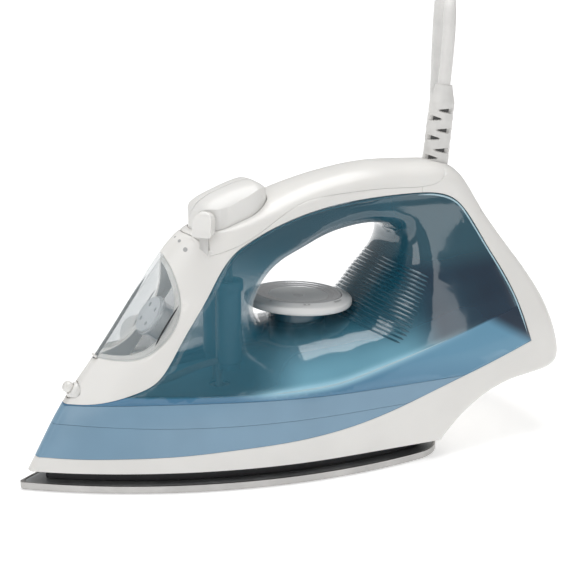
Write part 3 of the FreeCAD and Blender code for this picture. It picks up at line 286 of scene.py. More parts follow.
@dataclass(frozen=True)
class TankPlastic:
    """Blue-tinted clear plastic that turns denser to the rear, with a satin wing below and a painted
    highlight along the crease.

    The wing lies under the crease. Each fade is the pair of places, in millimetres, between
    which a mask turns from 0 to 1 across a line that may lean.
    """

    name: str
    clear: float = 0.40
    front: Colour = (0.030, 0.165, 0.240)
    middle: Colour = (0.210, 0.500, 0.650)
    rear: Colour = (0.001, 0.018, 0.045)
    rear_high: Colour = (0.020, 0.080, 0.115)
    grip: Colour = (0.022, 0.095, 0.140)
    wing_low: Colour = (0.050, 0.180, 0.315)
    wing: Colour = (0.120, 0.310, 0.460)
    # glow is the colour of the painted highlight along the crease
    glow: Colour = (0.420, 0.700, 0.830)
    crease_fade: tuple[float, float] = (-0.9, 0.7)
    nose_fade: tuple[float, float] = (-42.0, -8.0)
    rear_fade: tuple[float, float] = (53.0, 83.0)
    rear_lean: float = 0.15
    low_fade: tuple[float, float] = (53.0, 76.0)
    low_lean: float = -0.10
    corner_fade: tuple[float, float] = (124.44, 133.44)
    corner_lean: float = 0.58
    wing_fade: tuple[float, float] = (38.0, 70.0)
    wing_lean: float = 0.12
    painted_highlight_starts: tuple[float, float] = (-50.0, -22.0)
    painted_highlight_ends: tuple[float, float] = (8.0, 104.0)

    def make(self) -> bpy.types.Material:
        """Build the material."""
        graph = Graph(self.name)
        x, _, z = graph.axes()
        over_crease = z - crease_height(x)
        below = 1.0 - over_crease.step(*self.crease_fade)
        corner = (z + x * self.corner_lean).step(*self.corner_fade)
        behind = (x + z * self.rear_lean).step(*self.rear_fade)
        low = 1.0 - (z + x * self.low_lean).step(*self.low_fade)
        bright = x.step(*self.nose_fade) * low
        body = graph.mix(bright, self.front, self.middle)
        rear = graph.mix(z.step(95.0, 108.0), self.rear, self.rear_high)
        body = graph.mix(behind, body, rear)
        body = graph.mix(z.step(100.0, 122.0) * (1.0 - behind), body, self.grip)
        sheen = graph.noise(22.0, 2.0)
        body = graph.mix(sheen.step(0.25, 0.8) * 0.2, body, self.front)
        wing = graph.mix((z + x * self.wing_lean).step(*self.wing_fade), self.wing_low, self.wing)
        tone = graph.mix(below, body, graph.mix(corner, wing, self.rear))
        # Painted highlight: a narrow band either side of the crease, faded out at both ends, mixed towards
        # the glow colour and made denser
        line = over_crease * 0.50
        glow = (line * line * -1.0).math("EXPONENT")
        glow = glow * (1.0 - x.step(*self.painted_highlight_ends)) * x.step(*self.painted_highlight_starts)
        tone = graph.mix(glow * 0.85, tone, self.glow)
        dense = below + glow * 0.5 + behind * 0.52 + bright * 0.34 + self.clear
        dense = dense + z.step(96.0, 112.0) * (1.0 - behind) * 0.30
        return graph.surface(base_color=tone, roughness=below * 0.26 + sheen * 0.05 + 0.05,
                             coat_weight=1.0 - below * 0.6, coat_roughness=0.03, ior=1.55,
                             alpha=dense.math("MINIMUM", 1.0),
                             normal=graph.bump(graph.noise(60.0, 2.0), 0.05, 0.001))


@dataclass(frozen=True)
class ClearPlastic:
    """Clear plastic that lets most light through and still catches the lamps."""

    name: str
    colour: Colour = (0.80, 0.86, 0.88)
    cover: float = 0.22
    roughness: float = 0.04

    def make(self) -> bpy.types.Material:
        """Build the material."""
        graph = Graph(self.name)
        haze = graph.noise(40.0, 2.0)
        edge = graph.node("LayerWeight", None, {"Blend": 0.35}, "Facing")
        return graph.surface(base_color=graph.mix(haze * 0.3, self.colour, (0.55, 0.60, 0.62)),
                             roughness=haze * 0.04 + self.roughness,
                             coat_weight=1.0, coat_roughness=0.02,
                             alpha=(edge * 0.5 + self.cover).math("MINIMUM", 1.0))


class Lay(Enum):
    """Which way the scratches of a metal finish run."""

    ALONG = (0.02, 1.0, 1.0)
    CAST = (1.0, 1.0, 1.0)
    TURNED = (1.0, 1.0, 0.03)


@dataclass(frozen=True)
class Metal:
    """Worked metal whose fine scratches run one way."""

    name: str
    colour: Colour
    roughness: float
    lay: Lay
    per_metre: float = 900.0
    strength: float = 0.12

    def make(self) -> bpy.types.Material:
        """Build the material."""
        graph = Graph(self.name)
        lines = graph.noise(self.per_metre, 4.0, tuple(1.0 / s for s in self.lay.value))
        cloud = graph.noise(35.0, 3.0)
        worn = tuple(c * 0.82 for c in self.colour)
        return graph.surface(base_color=graph.mix(cloud.step(0.3, 0.75), worn, self.colour),
                             metallic=1.0, roughness=lines * 0.16 + cloud * 0.06 + self.roughness - 0.11,
                             normal=graph.bump(lines, self.strength, 0.0003))


@dataclass(frozen=True)
class SpunGrey:
    """Grey dial insert with fine rings turned into it about the dial's leaning axis."""

    name: str
    centre: tuple[float, float, float]
    colour: Colour = (0.60, 0.60, 0.61)

    def make(self) -> bpy.types.Material:
        """Build the material."""
        graph = Graph(self.name)
        x, y, _ = graph.axes()
        across = x - self.centre[0] / MM
        radius = (across * across + y * y) ** 0.5
        rings = (radius * 9.0 + graph.noise(30.0) * 1.5).math("SINE") * 0.5 + 0.5
        tone = graph.mix(rings * 0.25 + graph.noise(90.0) * 0.2, self.colour, (0.44, 0.44, 0.45))
        return graph.surface(base_color=tone, metallic=0.55, roughness=rings * 0.08 + 0.26,
                             coat_weight=0.3, coat_roughness=0.1,
                             normal=graph.bump(rings, 0.12, 0.0003))


@dataclass(frozen=True)
class Sheath:
    """Soft PVC or rubber: matt, with faint draw lines and handling marks."""

    name: str
    colour: Colour
    roughness: float = 0.48

    def make(self) -> bpy.types.Material:
        """Build the material."""
        graph = Graph(self.name)
        marks = graph.noise(70.0, 4.0)
        fine = graph.noise(1500.0, 2.0)
        dull = tuple(c * 0.88 for c in self.colour)
        return graph.surface(base_color=graph.mix(marks.step(0.35, 0.8), self.colour, dull),
                             roughness=marks * 0.1 + self.roughness - 0.05,
                             coat_weight=0.05, coat_roughness=0.3,
                             normal=graph.bump(fine, 0.10, 0.0002))


@dataclass(frozen=True)
class WovenSleeve:
    """Braided glass-fibre sleeving: two crossed waves round an upright piece."""

    name: str
    colour: Colour = (0.72, 0.69, 0.60)

    def make(self) -> bpy.types.Material:
        """Build the material."""
        graph = Graph(self.name)
        x, y, z = graph.axes()
        one = ((x + y + z) * 5.0).math("SINE")
        two = ((x + y - z) * 5.0).math("SINE")
        weave = one * two * 0.5 + 0.5
        shade = tuple(c * 0.7 for c in self.colour)
        return graph.surface(base_color=graph.mix(weave, shade, self.colour), roughness=weave * 0.1 + 0.75,
                             normal=graph.bump(weave, 0.4, 0.0004))


# ------------------------------------------------------------------ surface helpers

def smooth_rise(value: np.ndarray, low: float, high: float) -> np.ndarray:
    """Return 0 below low and 1 above high, with a cubic between them."""
    share = np.clip((value - low) / (high - low), 0.0, 1.0)
    return share * share * (3.0 - 2.0 * share)


def end_taper(count: int, low: float, high: float) -> np.ndarray:
    """Return a rise from each end of a row of points, counted in steps from that end."""
    steps = np.arange(count)
    return smooth_rise(np.minimum(steps, steps[::-1]), low, high)


def unit(vectors: np.ndarray) -> np.ndarray:
    """Return vectors of length one."""
    return vectors / np.maximum(np.linalg.norm(vectors, axis=-1, keepdims=True), 1e-12)


def square_to(axis: np.ndarray) -> tuple[np.ndarray, np.ndarray]:
    """Return two unit directions square to an axis and to each other."""
    first = unit(np.cross([0.0, 1.0, 0.0], axis))
    return first, np.cross(axis, first)


def grid_faces(rows: int, columns: int, wrap_rows: bool, wrap_columns: bool) -> np.ndarray:
    """Return the quads of a grid of points as rows of four indices.

    Args:
        rows: points along the first parameter.
        columns: points along the second parameter.
        wrap_rows: join the last row to the first.
        wrap_columns: join the last column to the first.

    Returns:
        An array of four indices for each face.
    """
    i, j = np.meshgrid(np.arange(rows if wrap_rows else rows - 1),
                       np.arange(columns if wrap_columns else columns - 1), indexing="ij")
    after_i, after_j = (i + 1) % rows, (j + 1) % columns
    corners = [i * columns + j, after_i * columns + j, after_i * columns + after_j, i * columns + after_j]
    return np.stack(corners, axis=-1).reshape(-1, 4)


@dataclass
class Patch:
    """Points and faces on their way to becoming a mesh."""

    points: np.ndarray
    faces: list[Sequence[int]]

    @staticmethod
    def of_grid(points: np.ndarray, wrap_rows: bool = False, wrap_columns: bool = False,
                cap_ends: bool = False) -> "Patch":
        """Make a patch of a grid of points, with its first and last rows closed if asked.

        Args:
            points: rows and columns of points, in metres.
            wrap_rows: join the last row to the first.
            wrap_columns: join the last column to the first.
            cap_ends: close the first and last rows.

        Returns:
            The patch.
        """
        rows, columns = points.shape[:2]
        faces = grid_faces(rows, columns, wrap_rows, wrap_columns).tolist()
        if cap_ends:
            faces.append(list(range(columns)))
            faces.append([(rows - 1) * columns + k for k in reversed(range(columns))])
        return Patch(points.reshape(-1, 3), faces)

    @staticmethod
    def joined(patches: Sequence["Patch"]) -> "Patch":
        """Put several patches into one, as separate shells.

        Args:
            patches: the patches, in order.

        Returns:
            One patch that holds them all.
        """
        faces: list[Sequence[int]] = []
        start = 0
        for patch in patches:
            faces += [[index + start for index in face] for face in patch.faces]
            start += len(patch.points)
        return Patch(np.concatenate([patch.points for patch in patches]), faces)


def new_object(name: str, data: bpy.types.ID) -> bpy.types.Object:
    """Make an object of its data and link it, at the origin."""
    item = bpy.data.objects.new(name, data)
    bpy.context.collection.objects.link(item)
    return item


def piece_of(name: str, patch: Patch, smooth: bool = True, sharp_above: float = 40.0) -> bpy.types.Object:
    """Make an object of a patch, with faces that point outwards.

    Args:
        name: the piece's name.
        patch: its points and faces, in metres.
        smooth: shade it smooth except at sharp edges.
        sharp_above: the edge angle in degrees that stays sharp.

    Returns:
        The object, at the origin.
    """
    mesh = bpy.data.meshes.new(name)
    mesh.from_pydata(patch.points.tolist(), [], patch.faces)
    mesh.validate()
    work = bmesh.new()
    work.from_mesh(mesh)
    bmesh.ops.remove_doubles(work, verts=work.verts, dist=1e-6)
    bmesh.ops.recalc_face_normals(work, faces=work.faces)
    work.to_mesh(mesh)
    work.free()
    if smooth:
        mesh.polygons.foreach_set("use_smooth", np.ones(len(mesh.polygons), dtype=bool))
        mesh.set_sharp_from_angle(angle=math.radians(sharp_above))
    return new_object(name, mesh)


def tube_patch(path: np.ndarray, radius: Union[float, np.ndarray], sides: int = 10,
               normal: Optional[np.ndarray] = None, flatten: float = 1.0) -> Patch:
    """Carry a circle along a path.

    The point at angle a of step i is path + radius (cos a normal + sin a side), with the
    normal made square to the path and the side square to both.

    Args:
        path: points along the middle, in metres.
        radius: one radius or one for each point.
        sides: points round the circle.
        normal: a direction for each point, or the most upright one if left out.
        flatten: the height of the section as a share of its width.

    Returns:
        A closed patch.
    """
    tangent = unit(np.gradient(path, axis=0))
    guide = np.tile([0.0, 0.0, 1.0], (len(path), 1)) if normal is None else normal
    side = unit(np.cross(tangent, guide + np.array([1e-6, 2e-6, 0.0])))
    up = unit(np.cross(side, tangent))
    angle = np.linspace(0.0, 2.0 * np.pi, sides, endpoint=False)
    size = np.broadcast_to(radius, len(path))[:, None, None]
    ring = (np.cos(angle)[None, :, None] * up[:, None] * flatten
            + np.sin(angle)[None, :, None] * side[:, None])
    return Patch.of_grid(path[:, None] + size * ring, wrap_columns=True, cap_ends=True)


def rounded_profile(corners: Sequence[tuple[float, float, float]], steps: int = 5) -> np.ndarray:
    """Round the corners of a profile.

    Each corner (r, z, fillet) is replaced by a quadratic curve between the two points one
    fillet away from it along its sides.

    Args:
        corners: radius, height and fillet in millimetres, along the profile.
        steps: points in each rounded corner.

    Returns:
        Radius and height of each point, in millimetres.
    """
    data = np.array(corners, dtype=float)
    found = [data[0, :2]]
    for before, here, after in zip(data, data[1:], data[2:]):
        reach = here[2]
        if reach <= 0.0:
            found.append(here[:2])
            continue
        back, ahead = before[:2] - here[:2], after[:2] - here[:2]
        start = here[:2] + back * min(reach / np.linalg.norm(back), 0.5)
        end = here[:2] + ahead * min(reach / np.linalg.norm(ahead), 0.5)
        share = np.linspace(0.0, 1.0, steps)[:, None]
        found.extend((1 - share) ** 2 * start + 2 * share * (1 - share) * here[:2] + share ** 2 * end)
    found.append(data[-1, :2])
    return np.array(found)


def turned_patch(profile: np.ndarray, foot: np.ndarray, axis: np.ndarray, sides: int = 96) -> Patch:
    """Turn a profile about an axis.

    The point at angle a is foot + height axis + radius (cos a first + sin a second), in
    metres, with first and second square to the axis.

    Args:
        profile: radius and height of each point, in millimetres.
        foot: the point on the axis at height zero, in metres.
        axis: the unit axis.
        sides: points round it.

    Returns:
        A closed patch.
    """
    first, second = square_to(axis)
    angle = np.linspace(0.0, 2.0 * np.pi, sides, endpoint=False)
    spoke = np.cos(angle)[:, None] * first + np.sin(angle)[:, None] * second
    radius, height = profile[:, 0] * MM, profile[:, 1] * MM
    points = foot + height[:, None, None] * axis + radius[:, None, None] * spoke[None]
    return Patch.of_grid(points, wrap_columns=True)


def moulded_copy(node: str, name: str, sharp_above: float = 28.0) -> bpy.types.Object:
    """Copy a CAD node's mesh as one welded, smoothly shaded surface.

    Args:
        node: the CAD node.
        name: the new piece's name.
        sharp_above: the edge angle in degrees that stays sharp.

    Returns:
        The piece that stands for the node.
    """
    source = bpy.data.objects[FRAME["nodes"][node].name].data
    work = bmesh.new()
    work.from_mesh(source)
    bmesh.ops.remove_doubles(work, verts=work.verts, dist=2e-6)
    mesh = bpy.data.meshes.new(name)
    work.to_mesh(mesh)
    work.free()
    mesh.materials.clear()
    mesh.polygons.foreach_set("use_smooth", np.ones(len(mesh.polygons), dtype=bool))
    mesh.set_sharp_from_angle(angle=math.radians(sharp_above))
    piece = new_object(name, mesh)
    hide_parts(node)
    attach(piece, body_of(node))
    slot_of(node)
    return piece


def body_of(node: str) -> str:
    """Return the name of the body that holds a node."""
    groups = FRAME["record"]["behaviour"]["bodies"]
    return next(body for body, nodes in groups.items() if node in nodes)


def slot_of(node: str) -> str:
    """Return a node's material slot in the record."""
    rows = FRAME["record"]["subparts"]
    return next(row["material_slot"] for row in rows if row["node"] == node)


def wear(piece: bpy.types.Object, material: bpy.types.Material) -> None:
    """Give a piece one material in place of any it has.

    Args:
        piece: the piece to dress.
        material: what it is made of.
    """
    if piece.data.materials:
        for index in range(len(piece.data.materials)):
            piece.data.materials[index] = material
    else:
        piece.data.materials.append(material)


def add_piece(piece: bpy.types.Object, body: str, slot: str, material: bpy.types.Material) -> None:
    """Dress a new piece and say which body it rides on.

    Args:
        piece: the piece.
        body: the body it moves with.
        slot: its material slot in the record; not used.
        material: what it is made of.
    """
    wear(piece, material)
    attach(piece, body)
    LOG.info("%s rides on %s", piece.name, body)


# ------------------------------------------------------------------ the outer skin

@dataclass
class Skin:
    """The body's outer surface: rings carried round the hand opening.

    At a station s and share t the side-view point is inner + (outer - inner) t, and half
    the width is the plan's half width times a rounding at each edge.
    """

    stations: tuple = (
        ((-151, -1), (-21, 77), 7, 30, 2.2), ((-146.5, 8), (-23.5, 81), 7, 27, 2.2),
        ((-138.5, 22), (-25, 85.5), 7, 24, 2.2), ((-126, 43), (-25.5, 91), 7, 20, 2.2),
        ((-108, 66.5), (-24, 96.5), 8, 16, 2.2), ((-90, 91.5), (-20, 102), 9, 14, 2.2),
        ((-73.5, 114), (-14, 107), 9, 12, 2.4), ((-60, 125.5), (-6, 111), 8, 11, 3.0),
        ((-38, 132), (4, 114.5), 9, 10, 2.8), ((-8, 143.5), (16, 118), 12, 10, 2.4),
        ((22, 151), (28, 120.3), 13, 10, 2.3), ((50, 153.8), (39, 121.5), 13, 10, 2.3),
        ((76, 152.5), (49, 121), 13, 10, 2.3), ((97, 147), (56, 117.5), 12, 12, 2.4),
        ((113, 124), (57.5, 111), 12, 14, 2.6), ((131, 97), (55, 103.5), 12, 17, 2.6),
        ((146, 71), (50, 96.5), 12, 20, 2.6), ((153, 48), (44, 90), 12, 23, 2.6),
        ((145, 36.5), (39.3, 84), 8, 26, 2.8), ((114, 34), (31, 77.2), 6, 29, 3.5),
        ((86, 22), (20, 75.8), 6, 32, 3.5), ((68, 5), (11, 75.4), 6, 34, 3.5),
        ((50, -9), (2, 75), 8, 34, 2.5), ((-10, -12), (-6, 74.3), 8, 34, 2.5),
        ((-90, -12), (-13, 74), 8, 33, 2.5), ((-140, -10), (-17.5, 75), 7, 32, 2.2))
    half_heights: tuple = (-12, 10, 30, 45, 60, 75, 90, 110, 125, 140, 156)
    half_widths: tuple = (51.5, 51.5, 51, 49.5, 47, 43, 37, 27, 21.5, 19.5, 19)
    prow_heights: tuple = (-12, 8, 22, 43, 66.5, 91.5, 114, 126, 156)
    prow_places: tuple = (-157, -146.5, -138.5, -126, -108, -90, -73.5, -66, -45)
    bow_heights: tuple = (-12, 10, 45, 75, 100, 125, 156)
    bow_lengths: tuple = (158, 158, 140, 115, 80, 42, 36)

    def __post_init__(self) -> None:
        """Solve the closed cubic splines through the stations."""
        self.values = np.array([[*outer, *inner, a, b, c] for outer, inner, a, b, c in self.stations])
        count = len(self.values)
        system = 4.0 * np.eye(count) + np.roll(np.eye(count), 1, 0) + np.roll(np.eye(count), -1, 0)
        rise = 3.0 * (np.roll(self.values, -1, 0) - np.roll(self.values, 1, 0))
        self.slopes = np.linalg.solve(system, rise)

    def ring(self, station: np.ndarray) -> np.ndarray:
        """Return the seven ring values at stations, on a closed cubic spline.

        Args:
            station: places round the hand opening, counted in stations.

        Returns:
            Outer x and z, inner x and z, the two edge depths and the outer edge's power.
        """
        count = len(self.values)
        low = np.floor(station).astype(int)
        f = (station - low)[..., None]
        start, end = low % count, (low + 1) % count
        rise = (3 - 2 * f) * f * f
        return (self.values[start] * (1 - rise) + self.values[end] * rise
                + self.slopes[start] * f * (1 - f) ** 2 - self.slopes[end] * f * f * (1 - f))

    @staticmethod
    def smooth_table(places: Sequence[float], values: Sequence[float], at: np.ndarray) -> np.ndarray:
        """Interpolate a table with a cubic that adds no bumps (harmonic mean slopes).

        Args:
            places: where the table's values stand, rising.
            values: the table's values.
            at: where values are wanted.

        Returns:
            The values there.
        """
        p, v = np.array(places, float), np.array(values, float)
        step = np.diff(p)
        rate = np.diff(v) / step
        slope = np.concatenate([rate[:1], np.zeros(len(rate) - 1), rate[-1:]])
        same = rate[:-1] * rate[1:] > 0
        near, far = 2 * step[1:] + step[:-1], step[1:] + 2 * step[:-1]
        safe_a, safe_b = np.where(same, rate[:-1], 1.0), np.where(same, rate[1:], 1.0)
        slope[1:-1] = np.where(same, (near + far) / (near / safe_a + far / safe_b), 0.0)
        x = np.clip(at, p[0], p[-1])
        i = np.clip(np.searchsorted(p, x, side="right") - 1, 0, len(step) - 1)
        f = (x - p[i]) / step[i]
        rise = (3 - 2 * f) * f * f
        return (v[i] * (1 - rise) + v[i + 1] * rise + slope[i] * step[i] * f * (1 - f) ** 2
                - slope[i + 1] * step[i] * f * f * (1 - f))

    def plan_half(self, x: np.ndarray, z: np.ndarray) -> np.ndarray:
        """Return half the width in plan: a quarter sine behind the prow.

        Args:
            x: places along the iron, in millimetres.
            z: heights, in millimetres.

        Returns:
            Half the width, never under 4.5 mm.
        """
        prow = self.smooth_table(self.prow_heights, self.prow_places, z)
        bow = self.smooth_table(self.bow_heights, self.bow_lengths, z)
        along = np.clip((x - prow + 1.5) / bow, 0.0, 1.0)
        rear = np.clip((x - 60.0) / 95.0, 0.0, 1.0)
        wide = self.smooth_table(self.half_heights, self.half_widths, z)
        return np.maximum(wide * np.sin(np.pi / 2 * along ** 0.84) * (1 - 0.2 * rear ** 2), 4.5)

    def point(self, station: np.ndarray, share: np.ndarray) -> np.ndarray:
        """Return points of the near half of the skin, in millimetres.

        Args:
            station: places round the hand opening.
            share: 0 at the opening and 1 at the outline.

        Returns:
            The points.
        """
        ox, oz, ix, iz, outer, inner, power = np.moveaxis(self.ring(station), -1, 0)
        x, z = ix + (ox - ix) * share, iz + (oz - iz) * share
        span = np.hypot(ox - ix, oz - iz)
        inner_depth = np.clip(share * span / inner, 0.0, 1.0)
        outer_depth = np.clip((1 - share) * span / outer, 0.0, 1.0)
        half = self.plan_half(x, z)
        half = half * (1 - (1 - inner_depth) ** 2.1) ** (1 / 2.1)
        half = half * (1 - (1 - outer_depth) ** power) ** (1 / power)
        return np.stack([x, -half, z], axis=-1)

    def over(self, x: np.ndarray, other: np.ndarray, plane: tuple[int, int] = (0, 2),
             span: tuple[float, float, float] = (0.0, 26.0, 0.0)) -> tuple[np.ndarray, np.ndarray]:
        """Find the skin at points of a side view, or of a plan.

        Args:
            x: places along the iron, in millimetres.
            other: heights, or places across when the plane is (0, 1), in millimetres.
            plane: the two axes that are given.
            span: the first and last station and the least share that are searched.

        Returns:
            The points of the near side and the outward normals there.
        """
        stations, shares = np.meshgrid(np.linspace(span[0], span[1], 521), np.linspace(span[2], 1.0, 161),
                                       indexing="ij")
        known = self.point(stations, shares)
        target = np.stack([x, other], axis=-1)
        gap = ((known[None, ..., 0] - target[:, 0, None, None]) ** 2
               + (known[None, ..., plane[1]] - target[:, 1, None, None]) ** 2)
        best = gap.reshape(len(target), -1).argmin(axis=1)
        s, t = stations.reshape(-1)[best], shares.reshape(-1)[best]
        small = 1e-4
        for _ in range(4):
            here = self.point(s, t)[:, plane]
            ds = (self.point(s + small, t)[:, plane] - here) / small
            dt = (self.point(s, t + small)[:, plane] - here) / small
            miss = target - here
            det = ds[:, 0] * dt[:, 1] - ds[:, 1] * dt[:, 0]
            s = s + np.clip((miss[:, 0] * dt[:, 1] - miss[:, 1] * dt[:, 0]) / det, -0.1, 0.1)
            t = t + np.clip((ds[:, 0] * miss[:, 1] - ds[:, 1] * miss[:, 0]) / det, -0.02, 0.02)
            t = np.clip(t, 0.0, 1.0 - 2 * small)
        return self.point(s, t), self.normal(s, t)

    def normal(self, station: np.ndarray, share: np.ndarray) -> np.ndarray:
        """Return outward unit normals of the near side.

        Args:
            station: places round the hand opening.
            share: 0 at the opening and 1 at the outline.

        Returns:
            The normals.
        """
        small = 1e-3
        along = self.point(station + small, share) - self.point(station - small, share)
        low, high = np.maximum(share - small, 0.0), np.minimum(share + small, 1.0)
        over = self.point(station, high) - self.point(station, low)
        found = unit(np.cross(along, over))
        return np.where(found[..., 1:2] > 0, -found, found)


def far_side(patch: Patch) -> Patch:
    """Mirror a patch across the iron's middle plane."""
    return Patch(patch.points * np.array([1.0, -1.0, 1.0]), [list(reversed(f)) for f in patch.faces])


def curve_through(points: Sequence[tuple[float, float]], count: int) -> np.ndarray:
    """Return evenly shared points on a Catmull-Rom curve through side-view points.

    Args:
        points: (x, z) in millimetres.
        count: how many points are returned.

    Returns:
        An array of (x, z).
    """
    data = np.array(points, float)
    padded = np.concatenate([2 * data[:1] - data[1:2], data, 2 * data[-1:] - data[-2:-1]])
    place = np.linspace(0, len(data) - 1 - 1e-9, count)
    i = place.astype(int)
    f = (place - i)[:, None]
    a, b, c, d = (padded[i + k] for k in range(4))
    return 0.5 * (2 * b + (c - a) * f + (2 * a - 5 * b + 4 * c - d) * f ** 2
                  + (3 * b - a - 3 * c + d) * f ** 3)


# ------------------------------------------------------------------ sub-assemblies

@dataclass
class Finishes:
    """Every material of the iron, made once."""

    table: dict[str, bpy.types.Material] = field(default_factory=dict)

    def make(self) -> None:
        """Build the materials."""
        dial = tuple(FRAME["joint_at"]["dial_turn"])
        kinds = [
            MouldedPlastic("warm_white_shell", (0.83, 0.815, 0.785), 0.30, 0.30, 0.03, 0.012, 0.05),
            MouldedPlastic("button_white", (0.80, 0.79, 0.765), 0.34, 0.2, 0.03, 0.012, 0.05),
            MouldedPlastic("steel_blue_band", (0.205, 0.345, 0.470), 0.30, 0.35, 0.03, 0.02),
            TankPlastic("tinted_tank"),
            ClearPlastic("clear_window", cover=0.10),
            # Near-black for the line along the clear door's prow: painted refraction
            MouldedPlastic("prow_painted_refraction", (0.045, 0.055, 0.062), 0.2, 0.6, 0.0, 0.05),
            MouldedPlastic("collar_tint", (0.030, 0.110, 0.160), 0.22, 0.6, 0.02, 0.04),
            MouldedPlastic("sleeve_shade", (0.10, 0.10, 0.10), 0.7, 0.0, 0.05, 0.05),
            ClearPlastic("clear_port", (0.70, 0.75, 0.78), 0.30, 0.08),
            # Light cyan for the crease and rear edge beads: painted highlights
            ClearPlastic("tank_edge_painted_highlight", (0.50, 0.76, 0.88), 0.75, 0.10),
            MouldedPlastic("rib_teal", (0.012, 0.085, 0.130), 0.18, 0.8, 0.0, 0.05),
            MouldedPlastic("inner_blue", (0.15, 0.36, 0.48), 0.30, 0.4, 0.02, 0.04),
            MouldedPlastic("dial_ring_white", (0.76, 0.76, 0.75), 0.33, 0.3, 0.03, 0.01),
            SpunGrey("spun_dial_insert", dial),
            MouldedPlastic("grey_print", (0.42, 0.42, 0.42), 0.45, 0.0, 0.02, 0.02),
            MouldedPlastic("black_phenolic", (0.012, 0.012, 0.014), 0.42, 0.1, 0.12, 0.10),
            # shadow_gap: near-black painted shade, used for the door's groove
            MouldedPlastic("shadow_gap", (0.02, 0.02, 0.022), 0.7, 0.0, 0.05, 0.05),
            MouldedPlastic("acetal", (0.62, 0.66, 0.69), 0.35, 0.2, 0.03, 0.03),
            Metal("satin_sole", (0.54, 0.53, 0.515), 0.36, Lay.ALONG),
            Metal("cast_alloy", (0.50, 0.51, 0.52), 0.52, Lay.CAST, 700.0, 0.35),
            Metal("heater_steel", (0.30, 0.27, 0.24), 0.45, Lay.CAST, 400.0, 0.2),
            Metal("drawn_steel", (0.62, 0.62, 0.63), 0.26, Lay.TURNED),
            Metal("stamped_brass", (0.68, 0.50, 0.22), 0.34, Lay.CAST, 500.0, 0.1),
            Metal("nickel_pin", (0.66, 0.64, 0.60), 0.24, Lay.ALONG),
            Sheath("white_sleeve", (0.74, 0.73, 0.71), 0.44),
            Sheath("white_lead", (0.76, 0.75, 0.73), 0.42),
            Sheath("grey_silicone", (0.40, 0.42, 0.43), 0.45),
            Sheath("brown_wire", (0.20, 0.085, 0.04), 0.45),
            Sheath("amber_lens", (0.55, 0.10, 0.03), 0.30),
            WovenSleeve("glass_braid"),
        ]
        for kind in kinds:
            self.table[kind.name] = kind.make()
        LOG.info("%d finishes", len(self.table))

    def __getitem__(self, name: str) -> bpy.types.Material:
        """Return a material by name."""
        return self.table[name]


@dataclass
class Shells:
    """The moulded outer pieces, which keep their CAD form as welded smooth surfaces."""

    white: tuple[str, ...] = ("front_frame", "top_cover", "rear_cover", "base_housing")
    blue: tuple[str, ...] = ("band_lower", "band_upper")
    slot_centre: float = -39.8
    slot_edges: tuple[float, float] = (20.05, 21.05)
    slot_half_turn: float = 55.6
    lip_steps: int = 90
    lip_sink: float = 0.08
    lip_depth: float = 1.2
    marks_out: float = 24.0
    marks: tuple[tuple[float, float], ...] = ((2.0, 0.7), (13.0, 0.95), (24.0, 1.25))

    def on_deck(self, skin: Skin, out: np.ndarray, turn: np.ndarray) -> tuple[np.ndarray, np.ndarray]:
        """Find the deck ahead of the buttons at distances and angles from the lever's axis.

        Args:
            skin: the outer skin.
            out: distances from the axis, in millimetres.
            turn: angles from the nose's direction towards the near side, in radians.

        Returns:
            The points, in millimetres, and the upward normals.
        """
        across = -out * np.sin(turn)
        points, normals = skin.over(self.slot_centre - out * np.cos(turn),
                                    -np.maximum(np.abs(across), 0.8), (0, 1), (3.0, 11.0, 0.5))
        flip = np.where(across > 0, -1.0, 1.0)
        points[:, 1] = across
        normals[:, 1] *= flip
        return points, normals

    def slot_lip(self, skin: Skin) -> Patch:
        """Return the soft lip that closes most of the lever's slot, just under the deck.

        Args:
            skin: the outer skin.

        Returns:
            A closed bar along the slot's arc.
        """
        turn = np.radians(np.linspace(-self.slot_half_turn, self.slot_half_turn, self.lip_steps))
        inner, outer = (self.on_deck(skin, np.full(self.lip_steps, edge), turn)[0]
                        for edge in self.slot_edges)
        up = np.array([0.0, 0.0, 1.0])
        rows = [inner - self.lip_sink * up, outer - self.lip_sink * up,
                outer - self.lip_depth * up, inner - self.lip_depth * up]
        return Patch.of_grid(np.stack(rows, axis=1) * MM, wrap_columns=True, cap_ends=True)

    def build(self, skin: Skin, finish: Finishes) -> None:
        """Copy each shell, dress it, close the lever's slot and print the marks on the deck.

        Args:
            skin: the outer skin.
            finish: the materials.
        """
        for node in self.white:
            wear(moulded_copy(node, node + "_shell"), finish["warm_white_shell"])
        for node in self.blue:
            wear(moulded_copy(node, node + "_shell"), finish["steel_blue_band"])
        add_piece(piece_of("slot_lip", self.slot_lip(skin)), "housing", slot_of("front_frame"),
                  finish["warm_white_shell"])
        angles, sizes = zip(*self.marks)
        points, normals = self.on_deck(skin, np.full(len(angles), self.marks_out), np.radians(angles))
        discs = [turned_patch(np.array([(0, -0.1), (size, -0.1), (size * 0.92, 0.05), (0, 0.09)]),
                              point * MM, normal, 20)
                 for point, normal, size in zip(points, normals, sizes)]
        add_piece(piece_of("deck_marks", Patch.joined(discs)), "housing", slot_of("front_frame"),
                  finish["grey_print"])


